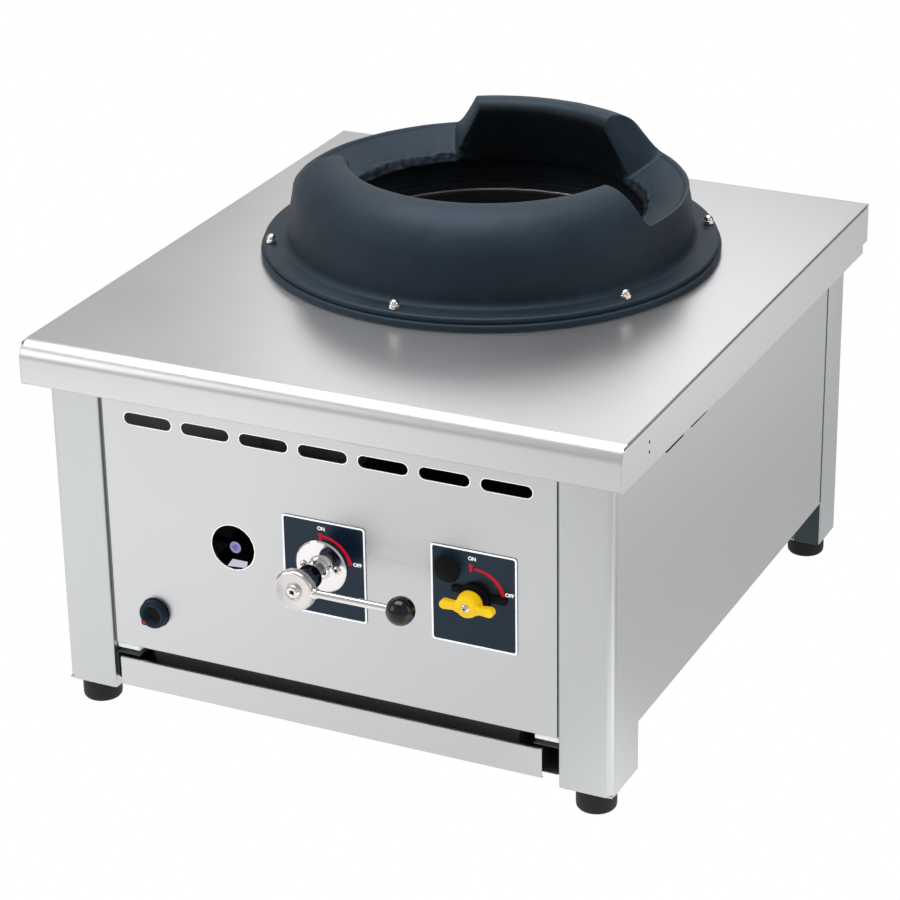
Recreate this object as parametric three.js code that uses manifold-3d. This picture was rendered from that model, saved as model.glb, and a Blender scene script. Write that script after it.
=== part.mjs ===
// A free-standing gas wok range for one wok: a folded stainless steel body on four rubber feet,
// a cast iron wok ring bolted on the worktop, a jet burner in a steel bowl below it, the gas
// line with its two valves and pilot, and a drip tray that slides out at the front.
// Millimetres, +Z up. x runs left to right, y from the front to the back, z from the floor.
import * as THREE from "three";
import { mergeVertices } from "three/addons/utils/BufferGeometryUtils.js";
import Module from "manifold-3d";

const wasm = await Module();
wasm.setup();

// ---- Driving dimensions: body ----
const width = 600;
const depth = 660;
const topHeight = 380;
const apronHeight = 40;
const topSheet = 1.5;
const noseRadius = 16;
const apronReturn = 11;
const sheet = 1.5;
const sideInset = 15;
const frontInset = 22;
const rearInset = 24;
const legWidth = 53;
const frontLegDepth = 61;
const rearLegDepth = 50;
const legReturn = 28;
const legClearance = 23;
const cornerRadius = 7;
const foldRadius = 2.5;
const panelBottom = 72;
const panelRecess = 3;
const panelSideGap = 2.5;
const panelReturn = 8;
const bottomReturn = 62;
const seamGap = 0.7;

// ---- Feet ----
const footRadius = 19;
const footRound = 3;
const footFromSide = 24;
const footFromFront = 21;
const footStudRadius = 5;
const footStudLength = 12;
const footSides = 14;

// ---- Vents ----
const ventCount = 7;
const rearVentCount = 3;
const ventLength = 50;
const ventWidth = 12;
const ventEndSteps = 5;
const ventPitch = 60.5;
const ventHeight = 311.5;
const sideVentHeight = 321;
const sideVentCentre = 345;

// ---- Wok ring; its heights are above the worktop ----
const ringY = 400;
const ringBaseRadius = 227;
const ringBaseWidth = 35;
const ringBaseThickness = 7;
const ringBaseMargin = 2.5;
const flangeWidth = 25;
const flangeThickness = 6;
const ringDraft = 2.5;
const ringShoulder = 46;
const frontCrest = 98;
const windshieldCrest = 105;
const ringWall = 9;
const lipRadius = 138;
const lipRound = 11;
const hollowTaper = 2;
const lipFootRadius = 150;
const lipBottom = 38;
const ringFillet = 4;
const domeAngles = [80, 28];
const hollowAngles = [14, 84];
const shelfInnerRadius = 155;
const shelfInnerHeight = 46;
const shelfRimInset = 3;
const shelfRimHeight = 65;
const frontArcLeft = 206;
const frontArcRight = 343;
const windshieldTopHalfAngle = 30;
const windshieldFootHalfAngle = 40;
const ringEndDraft = 2.5;
const ringEndWall = 1.2 * ringWall;
const ringStep = 11;
const ringSides = 38;
const roundSides = 18;
const boltInset = 10.5;
const boltCount = 6;
const nutAcrossFlats = 10;
const nutHeight = 5;
const studRadius = 3;
const studHoleRadius = 3.4;
const studHoleSides = 6;
const studBelowTop = 6;

// ---- Burner and its bowl ----
const topHoleMargin = 24;
const bowlGap = 4;
const bowlLap = 16;
const bowlSheet = 2;
const bowlWallBottom = 232;
const bowlDrainRadius = 96;
const bowlBottom = 178;
const bowlLip = 8;
const burnerRadius = 70;
const burnerBottom = 165;
const burnerTop = 231;
const burnerWall = 6;
const burnerFootInset = 12;
const burnerFootRise = 14;
const burnerFloorRise = 10;
const burnerHollowInset = 8;
const burnerBossLength = 8;
const burnerPorts = 12;
const burnerPortWidth = 4;
const burnerCapRise = 18;
const burnerCapRim = 4;
const burnerCapDome = 22;
const burnerCapWall = 6;
const burnerCapSeat = 13;
const burnerPortLength = 20;
const supportWidth = 46;
const supportThickness = 4;
const supportTab = 30;
const venturiMouthY = 150;
const venturiMouthRadius = 31;
const venturiThroatY = 195;
const venturiThroatRadius = 16;
const venturiOutletRadius = 24;
const venturiWall = 3.5;
const burnerBossRadius = 29;

// ---- Controls; heights are above the floor ----
const plateWidth = 85;
const plateHeight = 97;
const plateCorner = 3;
const plateThickness = 0.8;
const plateZ = 196.5;
const plateFromLever = 2.5;
const plateFromHandle = -1.5;
const leverX = -4;
const leverZ = 199;
const leverLength = 105;
const leverRodRadius = 3.7;
const rodSocket = 8;
const leverBallRadius = 13.5;
const hubRadius = 20;
const hubFaceY = -32;
const hubDishRadius = 9;
const hubDishDepth = 1.2;
const hubRim = 10;
const hubNeckRadius = 10;
const hubNeckLength = 35;
const mainStemRadius = 6;
const capNutRadius = 7;
const capNutLength = 5;
const escutcheonRadius = 26;
const escutcheonThickness = 3;
const escutcheonScrewSpacing = 34;
const screwHeadRadius = 4;
const screwHeadHeight = 2.4;
const screwShankRadius = 1.9;
const screwLength = 12;
const handleFromEdge = 79;
const handleZ = 198;
const handleFrontY = 2;
const handleLength = 13;
const handleHubRadius = 12.5;
const handleSpan = 53;
const handleWingHeight = 8.5;
const handleWingDepth = 8;
const handleWingRoot = 2;
const handleWingNeck = 10;
const handleFace = 4;
const collarRadius = 15;
const collarLength = 9;
const stopThickness = 2.5;
const stopEars = [
  { reach: -23, low: 3, high: 9.5 },
  { reach: 31, low: -1, high: 6.5 },
];
const ballStemRadius = 5;
const plugFromHandle = -28;
const plugZ = 221;
const plugRadius = 13;
const plugHeadThickness = 1.2;
const sightFromEdge = 132.5;
const sightZ = 199;
const sightRadius = 22.5;

// ---- Gas line ----
const pipeRadius = 10.7;
const pipeBend = 32;
const linkBend = 24;
const valveY = 85;
const valveBodyRadius = 17;
const valveBodyHalf = 24;
const valveBossRadius = 12.5;
const valveBossY = 38;
const stemSeat = 8;
const supplyZ = 116;
const linkZ = 256;
const inletLength = 20;
const inletAcrossFlats = 32;
const inletBoreRadius = 8;
const injectorRadius = 10;
const injectorLength = 26;
const injectorNoseRadius = 5;
const injectorHex = 12;
const injectorJet = 2;
const valveOutlet = 8;

// ---- Pilot ----
const tapFromEdge = 44.5;
const tapZ = 113;
const tapBodyRadius = 13;
const tapBodyFront = 42;
const tapBodyBack = 74;
const tapEndWall = 6;
const tapSpigotFromBack = 16;
const tapSpigotRadius = 5;
const tapSpigotLength = 5;
const tapCupRadius = 20;
const tapCupDepth = 8;
const knobRadius = 14;
const knobFrontY = 17;
const knobDepth = 13;
const knobCupRadius = 9;
const knobCupDepth = 5;
const knobPointer = 3;
const knobPointerDepth = 3.5;
const knobClearance = 1.2;
const knobTravel = 4;
const spindleRadius = 4;
const rotorRadius = 8;
const pilotFromSight = -15.5;
const pilotY = 72;
const pilotZ = 182;
const pilotShelfZ = 163;
const pilotBodyWidth = 16;
const pilotTipRadius = 6;
const pilotTipLength = 10;
const bracketWidth = 16;
const bracketSheet = 1.5;
const tubeRadius = 3;
const lightingTubeRadius = 10;
const lightingTubeWall = 1.5;

// ---- Bracket that carries the main valve ----
const hangerLeft = -74;
const hangerRight = 16;
const hangerFrontY = 46;
const hangerTopFlange = 40;
const hangerBend = 18;
const hangerFoot = 168;
const hangerFootHalf = 24;
const hangerTaperTop = 76;
const hangerTaperFoot = 19;

// ---- Drip tray and runners ----
const traySideGap = 9;
const trayX = -5;
const trayFrontY = 22.5;
const trayLength = 560;
const trayFasciaBottom = 28;
const trayFasciaTop = 58;
const trayFloor = 35;
const traySheet = 1.2;
const trayHem = 3;
const trayEndLap = 1;
const panInset = 27;
const panBehindFascia = 14;
const panRim = 69.5;
const panSheet = 1.2;
const panTaper = 6;
const trayTravel = 420;
const runnerWidth = 26;
const keeperClearance = 2.5;
const runnerStart = 4.5;

// ---- Clearances ----
const touch = 0.3;
const runningGap = 0.3;
const nothing = 0;

// ---- Sizes that follow from the ones above ----
const topUnderside = topHeight - topSheet;
const bodyHalf = width / 2 - sideInset;
const legInner = bodyHalf - legWidth;
const bodyBack = depth - rearInset;
const ringX = leverX;
const flangeRadius = ringBaseRadius - ringBaseMargin;
const ringFootRadius = flangeRadius - flangeWidth;
const ringShoulderRadius = ringFootRadius - ringDraft;
const ringBaseInner = ringBaseRadius - ringBaseWidth;
const boltCircleRadius = ringBaseRadius - boltInset;
const topHoleRadius = ringBaseInner - topHoleMargin;
const bowlRadius = topHoleRadius - bowlGap;
const bowlFlange = topHoleRadius + bowlLap;
const burnerInletY = ringY - burnerRadius - burnerBossLength;
const panelFront = frontInset + panelRecess;
const panelBack = panelFront + sheet;
const panelHalf = legInner - panelSideGap;
const rearPanelFace = bodyBack - panelRecess;
const plateFace = panelFront - plateThickness;
const ringBottom = topHeight + ringBaseThickness;
const flangeTop = ringBaseThickness + flangeThickness;
const handleX = panelHalf - handleFromEdge;
const plateLeftX = leverX + plateFromLever;
const plateRightX = handleX + plateFromHandle;
const plugX = handleX + plugFromHandle;
const sightX = sightFromEdge - panelHalf;
const pilotX = sightX + pilotFromSight;
const tapX = tapFromEdge - panelHalf;
const hubNeckY = hubFaceY + hubNeckLength;
const knobHoleRadius = knobRadius + knobClearance;
const trayHalf = panelHalf - traySideGap;
const keeperTop = trayFasciaTop + keeperClearance + sheet;
const tapReach = tapBodyRadius + tapSpigotLength;
const tapY = tapBodyBack - tapSpigotFromBack;
const rodY = hubFaceY + hubRim / 2;
const stemBack = valveY - stemSeat;

// ---- Materials ----
const finish = (color, roughness, metalness) =>
  new THREE.MeshStandardMaterial({ color, roughness, metalness });
const brushedSteel = finish(0xc9cacb, 0.34, 1);
const castIron = finish(0x3a4853, 0.62, 0.4);
const chrome = finish(0xe4e2e2, 0.08, 1);
const zincSteel = finish(0x9aa0a4, 0.4, 1);
const brass = finish(0xb08d4a, 0.35, 1);
const copper = finish(0xb4714a, 0.35, 1);
const ceramic = finish(0xcfcfe2, 0.3, 0);
const rubber = finish(0x1b1b1f, 0.8, 0);
const blackPlastic = finish(0x15161a, 0.25, 0);
const yellowVinyl = finish(0xf2cf06, 0.45, 0);
const plateNavy = finish(0x2a3644, 0.5, 0.1);
const blackEnamel = finish(0x17181a, 0.3, 0);

// ---- Solids ----

// A closed geometry as a solid, with its shared vertices merged and its faces turned outwards.
function toSolid(geometry) {
  const bare = geometry.index ? geometry.toNonIndexed() : geometry.clone();
  bare.deleteAttribute("normal");
  bare.deleteAttribute("uv");
  const merged = mergeVertices(bare, 1e-4);
  const corners = merged.index.array;
  const kept = [];
  for (let i = 0; i < corners.length; i += 3) {
    const [a, b, c] = [corners[i], corners[i + 1], corners[i + 2]];
    if (a !== b && b !== c && c !== a) kept.push(a, b, c);
  }
  const vertProperties = merged.attributes.position.array;
  const make = (list) =>
    new wasm.Manifold(
      new wasm.Mesh({ numProp: 3, vertProperties, triVerts: new Uint32Array(list) }),
    );
  const solid = make(kept);
  return solid.volume() > 0 ? solid : make(kept.reverse());
}

function toGeometry(solid) {
  const mesh = solid.getMesh();
  const geometry = new THREE.BufferGeometry();
  geometry.setAttribute("position", new THREE.BufferAttribute(mesh.vertProperties, 3));
  geometry.setIndex(new THREE.BufferAttribute(mesh.triVerts, 1));
  geometry.computeVertexNormals();
  return geometry;
}

const join = (first, ...rest) => rest.reduce((sum, solid) => sum.add(solid), first);
const cut = (first, ...rest) => rest.reduce((left, solid) => left.subtract(solid), first);

// How many flats stand in for a circle of this radius.
const sidesFor = (radius) => Math.min(44, 4 * Math.ceil(0.5 + 0.8 * Math.sqrt(radius)));

// A six-sided block between two quadrilaterals, one above the other.
function block(lower, upper) {
  const corners = [...lower, ...upper].flat();
  const faces = [0, 2, 1, 0, 3, 2, 4, 5, 6, 4, 6, 7];
  for (let i = 0; i < 4; i += 1) {
    const next = (i + 1) % 4;
    faces.push(i, next, next + 4, i, next + 4, i + 4);
  }
  const geometry = new THREE.BufferGeometry();
  geometry.setAttribute("position", new THREE.Float32BufferAttribute(corners, 3));
  geometry.setIndex(faces);
  return toSolid(geometry);
}

function box([x0, x1], [y0, y1], [z0, z1]) {
  const level = (z) => [
    [x0, y0, z],
    [x1, y0, z],
    [x1, y1, z],
    [x0, y1, z],
  ];
  return block(level(z0), level(z1));
}

// Turns what is drawn about the y axis to lie along another axis, then puts it in place.
function alongAxis(geometry, axis, [x, y, z]) {
  if (axis === "x") geometry.rotateZ(-Math.PI / 2);
  if (axis === "z") geometry.rotateX(Math.PI / 2);
  return geometry.translate(x, y, z);
}

// A round bar along an axis, from one place on it to another; the other two coordinates fix its line.
function bar(axis, radius, [from, to], [u, v], sides = sidesFor(radius)) {
  const cylinder = new THREE.CylinderGeometry(radius, radius, to - from, sides);
  const middle = (from + to) / 2;
  const at = { x: [middle, u, v], y: [u, middle, v], z: [u, v, middle] }[axis];
  return toSolid(alongAxis(cylinder, axis, at));
}

// A turned solid: its profile is a list of [radius, height along the axis].
function turned(axis, profile, [u, v], sides) {
  const most = Math.max(...profile.map(([radius]) => radius));
  const points = profile.map(([radius, height]) => new THREE.Vector2(radius, height));
  if (points[0].x > 0) points.push(points[0].clone());
  const lathe = new THREE.LatheGeometry(points, sides ?? sidesFor(most));
  const at = { x: [0, u, v], y: [u, 0, v], z: [u, v, 0] }[axis];
  return toSolid(alongAxis(lathe, axis, at));
}

// An outline pushed along an axis. It is drawn in (x, z) for y, in (y, z) for x and in (x, y) for z.
function prism(axis, shape, [from, to], curveSegments = 6) {
  const options = { depth: to - from, bevelEnabled: false, curveSegments };
  const pushed = new THREE.ExtrudeGeometry(shape, options);
  if (axis === "z") pushed.translate(0, 0, from);
  if (axis === "y") pushed.rotateX(Math.PI / 2).translate(0, to, 0);
  if (axis === "x") {
    const cycle = new THREE.Matrix4().makeBasis(
      new THREE.Vector3(0, 1, 0),
      new THREE.Vector3(0, 0, 1),
      new THREE.Vector3(1, 0, 0),
    );
    pushed.applyMatrix4(cycle).translate(from, 0, 0);
  }
  return toSolid(pushed);
}

const outline = (points) => new THREE.Shape(points.map(([u, v]) => new THREE.Vector2(u, v)));

// Points on an ellipse's arc, in degrees.
function arc([u, v], [radiusU, radiusV], [from, to], steps) {
  return Array.from({ length: steps + 1 }, (_, i) => {
    const angle = THREE.MathUtils.degToRad(from + ((to - from) * i) / steps);
    return [u + radiusU * Math.cos(angle), v + radiusV * Math.sin(angle)];
  });
}

function roundedRectangle([u, v], wide, high, radius) {
  const [halfU, halfV] = [wide / 2 - radius, high / 2 - radius];
  const corners = [
    [halfU, halfV, 0],
    [-halfU, halfV, 90],
    [-halfU, -halfV, 180],
    [halfU, -halfV, 270],
  ];
  return outline(
    corners.flatMap(([du, dv, from]) =>
      arc([u + du, v + dv], [radius, radius], [from, from + 90], 3),
    ),
  );
}

// A slot with round ends, lying along the first coordinate.
function slot([u, v], long, wide, steps) {
  const [end, round] = [(long - wide) / 2, [wide / 2, wide / 2]];
  return outline([
    ...arc([u + end, v], round, [-90, 90], steps),
    ...arc([u - end, v], round, [90, 270], steps),
  ]);
}

const hexagon = (centre, acrossFlats) => {
  const corner = acrossFlats / Math.sqrt(3);
  return outline(arc(centre, [corner, corner], [0, 300], 5));
};

// A polyline with a round corner at each inner point.
function rounded(points, radii, steps = 2) {
  const made = [points[0]];
  points.slice(1, -1).forEach((corner, i) => {
    const back = points[i].clone().sub(corner).normalize();
    const on = points[i + 2].clone().sub(corner).normalize();
    const half = back.angleTo(on) / 2;
    const middle = back.clone().add(on).normalize();
    const centre = corner.clone().addScaledVector(middle, radii[i] / Math.sin(half));
    const first = corner.clone().addScaledVector(back, radii[i] / Math.tan(half)).sub(centre);
    const last = corner.clone().addScaledVector(on, radii[i] / Math.tan(half)).sub(centre);
    const turn = Math.atan2(first.cross(last), first.dot(last));
    for (let step = 0; step <= steps; step += 1) {
      const spoke = first.clone().rotateAround(new THREE.Vector2(), (turn * step) / steps);
      made.push(centre.clone().add(spoke));
    }
  });
  return [...made, points.at(-1)];
}

// The section of a folded sheet. The path is its outer face, and the metal lies left of it.
function foldedSheet(path, thickness, radii) {
  const points = path.map(([u, v]) => new THREE.Vector2(u, v));
  const runs = points.slice(1).map((point, i) => point.clone().sub(points[i]).normalize());
  const left = (run) => new THREE.Vector2(-run.y, run.x);
  const offset = points.map((point, i) => {
    const before = left(runs[Math.max(i - 1, 0)]);
    const after = left(runs[Math.min(i, runs.length - 1)]);
    const mitre = before.clone().add(after);
    return point.clone().addScaledVector(mitre, (2 * thickness) / mitre.lengthSq());
  });
  const isLeftTurn = runs.slice(1).map((run, i) => runs[i].cross(run) > 0);
  const outerRadii = radii.map((radius, i) => (isLeftTurn[i] ? radius : radius - thickness));
  const innerRadii = radii.map((radius, i) => (isLeftTurn[i] ? radius - thickness : radius));
  const outer = rounded(points, outerRadii);
  const inner = rounded(offset, innerRadii);
  return new THREE.Shape([...outer, ...inner.reverse()]);
}

// The line of a bent pipe, given as the places where its section is set and the way it heads there.
class PipeLine extends THREE.Curve {
  constructor(stations) {
    super();
    this.stations = stations;
  }

  station(share) {
    return this.stations[Math.round(share * (this.stations.length - 1))];
  }

  getPointAt(share) {
    return this.station(share).place.clone();
  }

  getTangentAt(share) {
    return this.station(share).heading.clone();
  }
}

// A bent tube or pipe: straight runs joined by round bends, with flat ends.
function bentPipe(points, bend, radius, sides, bendSteps = 4) {
  const corners = points.map((point) => new THREE.Vector3(...point));
  const heads = corners.slice(1).map((corner, i) => corner.clone().sub(corners[i]).normalize());
  const stations = [{ place: corners[0], heading: heads[0] }];
  corners.slice(1, -1).forEach((corner, i) => {
    const [from, to] = [heads[i], heads[i + 1]];
    const angle = from.angleTo(to);
    const start = corner.clone().addScaledVector(from, -bend * Math.tan(angle / 2));
    const axis = from.clone().cross(to).normalize();
    const spoke = from.clone().cross(axis).multiplyScalar(bend);
    const centre = start.clone().sub(spoke);
    for (let step = 0; step <= bendSteps; step += 1) {
      const turn = (angle * step) / bendSteps;
      const place = spoke.clone().applyAxisAngle(axis, turn).add(centre);
      stations.push({ place, heading: from.clone().applyAxisAngle(axis, turn) });
    }
  });
  stations.push({ place: corners.at(-1), heading: heads.at(-1) });
  const section = outline(arc([0, 0], [radius, radius], [0, 360 - 360 / sides], sides - 1));
  const options = { steps: stations.length - 1, extrudePath: new PipeLine(stations) };
  return toSolid(new THREE.ExtrudeGeometry(section, options));
}

// A place on a circle round the wok ring's axis.
function onRing(radius, degrees) {
  const angle = THREE.MathUtils.degToRad(degrees);
  return [ringX + radius * Math.cos(angle), ringY + radius * Math.sin(angle)];
}

const range = new THREE.Group();

function add(name, solid, material) {
  const mesh = new THREE.Mesh(toGeometry(solid), material);
  mesh.name = name;
  range.add(mesh);
}

const boltAngles = Array.from({ length: boltCount }, (_, i) => 270 + (i * 360) / boltCount);
const studHoles = (span) =>
  boltAngles.map((angle) =>
    bar("z", studHoleRadius, span, onRing(boltCircleRadius, angle), studHoleSides),
  );

// ---- Worktop: one folded top with a round nose at the front and an apron on all sides ----
function topSection(inset, bottom) {
  const radius = noseRadius - inset;
  const back = depth - inset;
  const top = topHeight - inset;
  return outline([
    [inset, bottom],
    ...arc([noseRadius, topHeight - noseRadius], [radius, radius], [180, 90], 6),
    [back, top],
    [back, bottom],
  ]);
}

function addWorktop() {
  const half = width / 2;
  const apronBottom = topHeight - apronHeight;
  const skin = prism("x", topSection(nothing, apronBottom), [-half, half]);
  const inside = prism("x", topSection(topSheet, apronBottom + topSheet), [
    topSheet - half,
    half - topSheet,
  ]);
  const mouth = box(
    [apronReturn - half, half - apronReturn],
    [apronReturn, depth - apronReturn],
    [apronBottom - 1, apronBottom + topSheet + 1],
  );
  const burnerHole = bar("z", topHoleRadius, [topUnderside - 1, topHeight + 1], [ringX, ringY]);
  const holes = studHoles([topUnderside - 1, topHeight + 1]);
  add("worktop", cut(skin, inside, mouth, burnerHole, ...holes), brushedSteel);
}

// ---- Side panels: each wraps round the front corner and is the front leg too ----
function addSidePanel(side) {
  const legBack = frontInset + frontLegDepth;
  const panelEnd = bodyBack - rearLegDepth - seamGap;
  const path = [
    [legInner, frontInset + legReturn],
    [legInner, frontInset],
    [bodyHalf, frontInset],
    [bodyHalf, panelEnd],
  ];
  const section = foldedSheet(path, sheet, [foldRadius, cornerRadius]);
  const skin = prism("z", section, [legClearance, topUnderside]);
  const [inner, outer] = [legInner + sheet, bodyHalf - sheet];
  const belowPanel = box(
    [outer - 1, bodyHalf + 1],
    [legBack, panelEnd + 1],
    [legClearance - 1, panelBottom],
  );
  const vents = Array.from({ length: ventCount }, (_, i) => {
    const y = sideVentCentre + (i - (ventCount - 1) / 2) * ventPitch;
    const shape = slot([y, sideVentHeight], ventLength, ventWidth, 4);
    return prism("x", shape, [outer - 1, bodyHalf + 1]);
  });
  const lap = sheet / 2;
  const hem = box([outer - bottomReturn, outer + lap], [legBack, panelEnd - 1], [
    panelBottom,
    panelBottom + sheet,
  ]);
  const legBackFlange = box([outer - legReturn, outer + lap], [legBack - sheet, legBack], [
    legClearance,
    panelBottom + sheet,
  ]);
  const sole = box([inner - lap, outer + lap], [frontInset + lap, legBack - lap], [
    legClearance,
    legClearance + sheet,
  ]);
  const foot = footPlace("front");
  const studHole = bar("z", footStudRadius + touch, [legClearance - 1, legClearance + 3], foot, 12);
  const panel = cut(join(skin, hem, legBackFlange, sole), belowPanel, studHole, ...vents);
  add(side < 0 ? "side_panel_left" : "side_panel_right", mirrored(panel, side), brushedSteel);
}

// The same solid on the left when side is -1.
function mirrored(solid, side) {
  return side > 0 ? solid : toSolid(toGeometry(solid).scale(-1, 1, 1));
}

// A foot's centre on the right-hand side, as [x, y].
function footPlace(end) {
  const y = end === "front" ? frontInset + footFromFront : bodyBack - footFromFront;
  return [bodyHalf - footFromSide, y];
}

// ---- Rear legs: folded channels ----
function addRearLeg(side) {
  const legFront = bodyBack - rearLegDepth;
  const path = [
    [bodyHalf - legReturn, legFront],
    [bodyHalf, legFront],
    [bodyHalf, bodyBack],
    [legInner, bodyBack],
    [legInner, bodyBack - legReturn],
  ];
  const section = foldedSheet(path, sheet, [foldRadius, foldRadius, foldRadius]);
  const channel = prism("z", section, [legClearance, topUnderside]);
  const sole = box(
    [legInner + sheet / 2, bodyHalf - sheet / 2],
    [legFront + sheet / 2, bodyBack - sheet / 2],
    [legClearance, legClearance + sheet],
  );
  const foot = footPlace("rear");
  const studHole = bar("z", footStudRadius + touch, [legClearance - 1, legClearance + 3], foot, 12);
  const leg = cut(join(channel, sole), studHole);
  add(side < 0 ? "rear_leg_left" : "rear_leg_right", mirrored(leg, side), brushedSteel);
}

function addFoot(end, side) {
  const stud = footStudLength + legClearance;
  const profile = [
    [0, 0],
    ...arc([footRadius - footRound, footRound], [footRound, footRound], [270, 360], 2),
    [footRadius, legClearance],
    [footStudRadius, legClearance],
    [footStudRadius, stud],
    [0, stud],
  ];
  const foot = turned("z", profile, footPlace(end), footSides);
  add(`foot_${end}_${side < 0 ? "left" : "right"}`, mirrored(foot, side), rubber);
}

// ---- Front and rear panels ----
function ventRow(count) {
  return Array.from({ length: count }, (_, i) => {
    const x = (i - (count - 1) / 2) * ventPitch;
    return slot([x, ventHeight], ventLength, ventWidth, ventEndSteps);
  });
}

// A sheet between the legs with all its edges folded back. Its outer face is at faceY, and inwards is
// 1 or -1.
function pannedSheet(faceY, inwards) {
  const span = (from, to) => [faceY + inwards * from, faceY + inwards * to].sort((a, b) => a - b);
  const whole = box([-panelHalf, panelHalf], span(0, panelReturn), [panelBottom, topUnderside]);
  const inside = box(
    [sheet - panelHalf, panelHalf - sheet],
    span(sheet, panelReturn + 1),
    [panelBottom + sheet, topUnderside - sheet],
  );
  return cut(whole, inside);
}

function addFrontPanel() {
  const through = [panelFront - 1, panelBack + 1];
  const screwHoles = [-1, 1].map((side) =>
    bar("y", screwShankRadius + touch, through, [screwX(side), leverZ], 8),
  );
  const holes = [
    ...ventRow(ventCount).map((shape) => prism("y", shape, through)),
    bar("y", sightRadius, through, [sightX, sightZ]),
    bar("y", knobHoleRadius, through, [tapX, tapZ]),
    bar("y", mainStemRadius + 2 * touch, through, [leverX, leverZ]),
    bar("y", ballStemRadius + 2 * touch, through, [handleX, handleZ]),
    bar("y", plugRadius - 2, through, [plugX, plugZ]),
    ...screwHoles,
  ];
  add("front_panel", cut(pannedSheet(panelFront, 1), ...holes), brushedSteel);
}

function addRearPanel() {
  const through = [rearPanelFace - sheet - 1, rearPanelFace + 1];
  const holes = [
    ...ventRow(rearVentCount).map((shape) => prism("y", shape, through)),
    bar("y", pipeRadius + 2, through, [handleX, supplyZ]),
  ];
  add("rear_panel", cut(pannedSheet(rearPanelFace, -1), ...holes), brushedSteel);
}

// ---- Wok ring: a hollow casting with a high front, a windshield and two low side shelves ----
const above = (height) => topHeight + height;

// Points evenly along a line, with both its ends.
function alongLine(start, end, steps) {
  return Array.from({ length: steps + 1 }, (_, i) =>
    start.map((value, axis) => value + ((end[axis] - value) * i) / steps),
  );
}

// The ring's outside up from the foot of its inner wall, over the crest and down to the flange's edge;
// without a crest it is a side shelf, which slopes down inwards.
function ringOutside(crest) {
  const crestRadius = lipRadius + lipRound;
  const dome = [ringShoulderRadius - crestRadius, crest - ringShoulder];
  const rim = [ringShoulderRadius - shelfRimInset, shelfRimHeight];
  const shelf = alongLine([shelfInnerRadius, shelfInnerHeight], rim, 9);
  const high = [
    ...arc([crestRadius, crest - lipRound], [lipRound, lipRound], [180, 90], 3),
    ...arc([crestRadius, ringShoulder], dome, domeAngles, 4),
    rim,
  ];
  return [
    [lipFootRadius, lipBottom],
    ...(crest ? high : shelf),
    [ringShoulderRadius, ringShoulder],
    [ringFootRadius, flangeTop + ringFillet],
    [ringFootRadius + ringFillet, flangeTop],
    [flangeRadius - 1, flangeTop],
    [flangeRadius, ringBaseThickness],
  ];
}

// The ring's underside from the flange up into the hollow and back to the foot of its inner wall.
function ringInside(crest) {
  const crestRadius = lipRadius + lipRound;
  const dome = [ringShoulderRadius - ringWall - crestRadius, crest - ringWall - ringShoulder];
  const slope = (shelfRimHeight - shelfInnerHeight) / (ringShoulderRadius - shelfInnerRadius);
  const outerRadius = ringShoulderRadius - ringWall - hollowTaper;
  const innerRadius = lipFootRadius + ringWall;
  const outer = [outerRadius, lipBottom + slope * (outerRadius - innerRadius)];
  const inner = [innerRadius, lipBottom];
  const high = [
    outer,
    ...arc([crestRadius, ringShoulder], dome, hollowAngles, 4),
    [lipRadius + ringWall + 1, crest - lipRound - ringWall / 2],
    inner,
  ];
  return [
    [ringFootRadius - ringWall, ringBaseThickness],
    ...(crest ? high : alongLine(outer, inner, 7)),
  ];
}

// Stretches of the ring in degrees round its axis, with the crest of the outside and of the hollow.
function ringStretches() {
  const wall = THREE.MathUtils.radToDeg(ringEndWall / ringShoulderRadius);
  const inset = wall + ringEndDraft;
  const shelf = (from, to) => [{ from, to, crest: 0, hollow: 0 }];
  const high = (crest, from, to) => [
    { from, to: from + wall, crest, hollow: 0 },
    { from: from + inset, to: to - inset, crest, hollow: crest },
    { from: to - wall, to, crest, hollow: 0 },
  ];
  return [
    ...shelf(frontArcRight + ringEndDraft - 360, 90 - windshieldFootHalfAngle),
    ...high(windshieldCrest, 90 - windshieldTopHalfAngle, 90 + windshieldTopHalfAngle),
    ...shelf(90 + windshieldFootHalfAngle, frontArcLeft - ringEndDraft),
    ...high(frontCrest, frontArcLeft, frontArcRight),
  ];
}

function addWokRing() {
  const columns = ringStretches().flatMap(({ from, to, crest, hollow }) => {
    const section = [...ringOutside(crest), ...ringInside(hollow)];
    const steps = Math.max(1, Math.round((to - from) / ringStep));
    return Array.from({ length: steps + 1 }, (_, i) => {
      const angle = from + ((to - from) * i) / steps;
      return section.map(([radius, height]) => [...onRing(radius, angle), above(height)]);
    });
  });
  const count = columns[0].length;
  const faces = columns.flatMap((_, i) => {
    const [here, there] = [i * count, ((i + 1) % columns.length) * count];
    return Array.from({ length: count }, (_, j) => {
      const next = (j + 1) % count;
      return [here + j, there + j, there + next, here + j, there + next, here + next];
    }).flat();
  });
  const swept = new THREE.BufferGeometry();
  swept.setAttribute("position", new THREE.Float32BufferAttribute(columns.flat(2), 3));
  swept.setIndex(faces);
  const holes = studHoles([above(ringBaseThickness) - 1, above(flangeTop) + 1]);
  add("wok_ring", cut(toSolid(swept), ...holes), castIron);
}

function addRingBase() {
  const profile = [
    [ringBaseInner, 0],
    [ringBaseRadius, 0],
    [ringBaseRadius, ringBaseThickness - 1.5],
    [ringBaseRadius - 1.5, ringBaseThickness],
    [ringBaseInner, ringBaseThickness],
  ].map(([radius, height]) => [radius, above(height)]);
  const holes = studHoles([topHeight - 1, ringBottom + 1]);
  add("ring_base", cut(turned("z", profile, [ringX, ringY], ringSides), ...holes), castIron);
}

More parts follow.
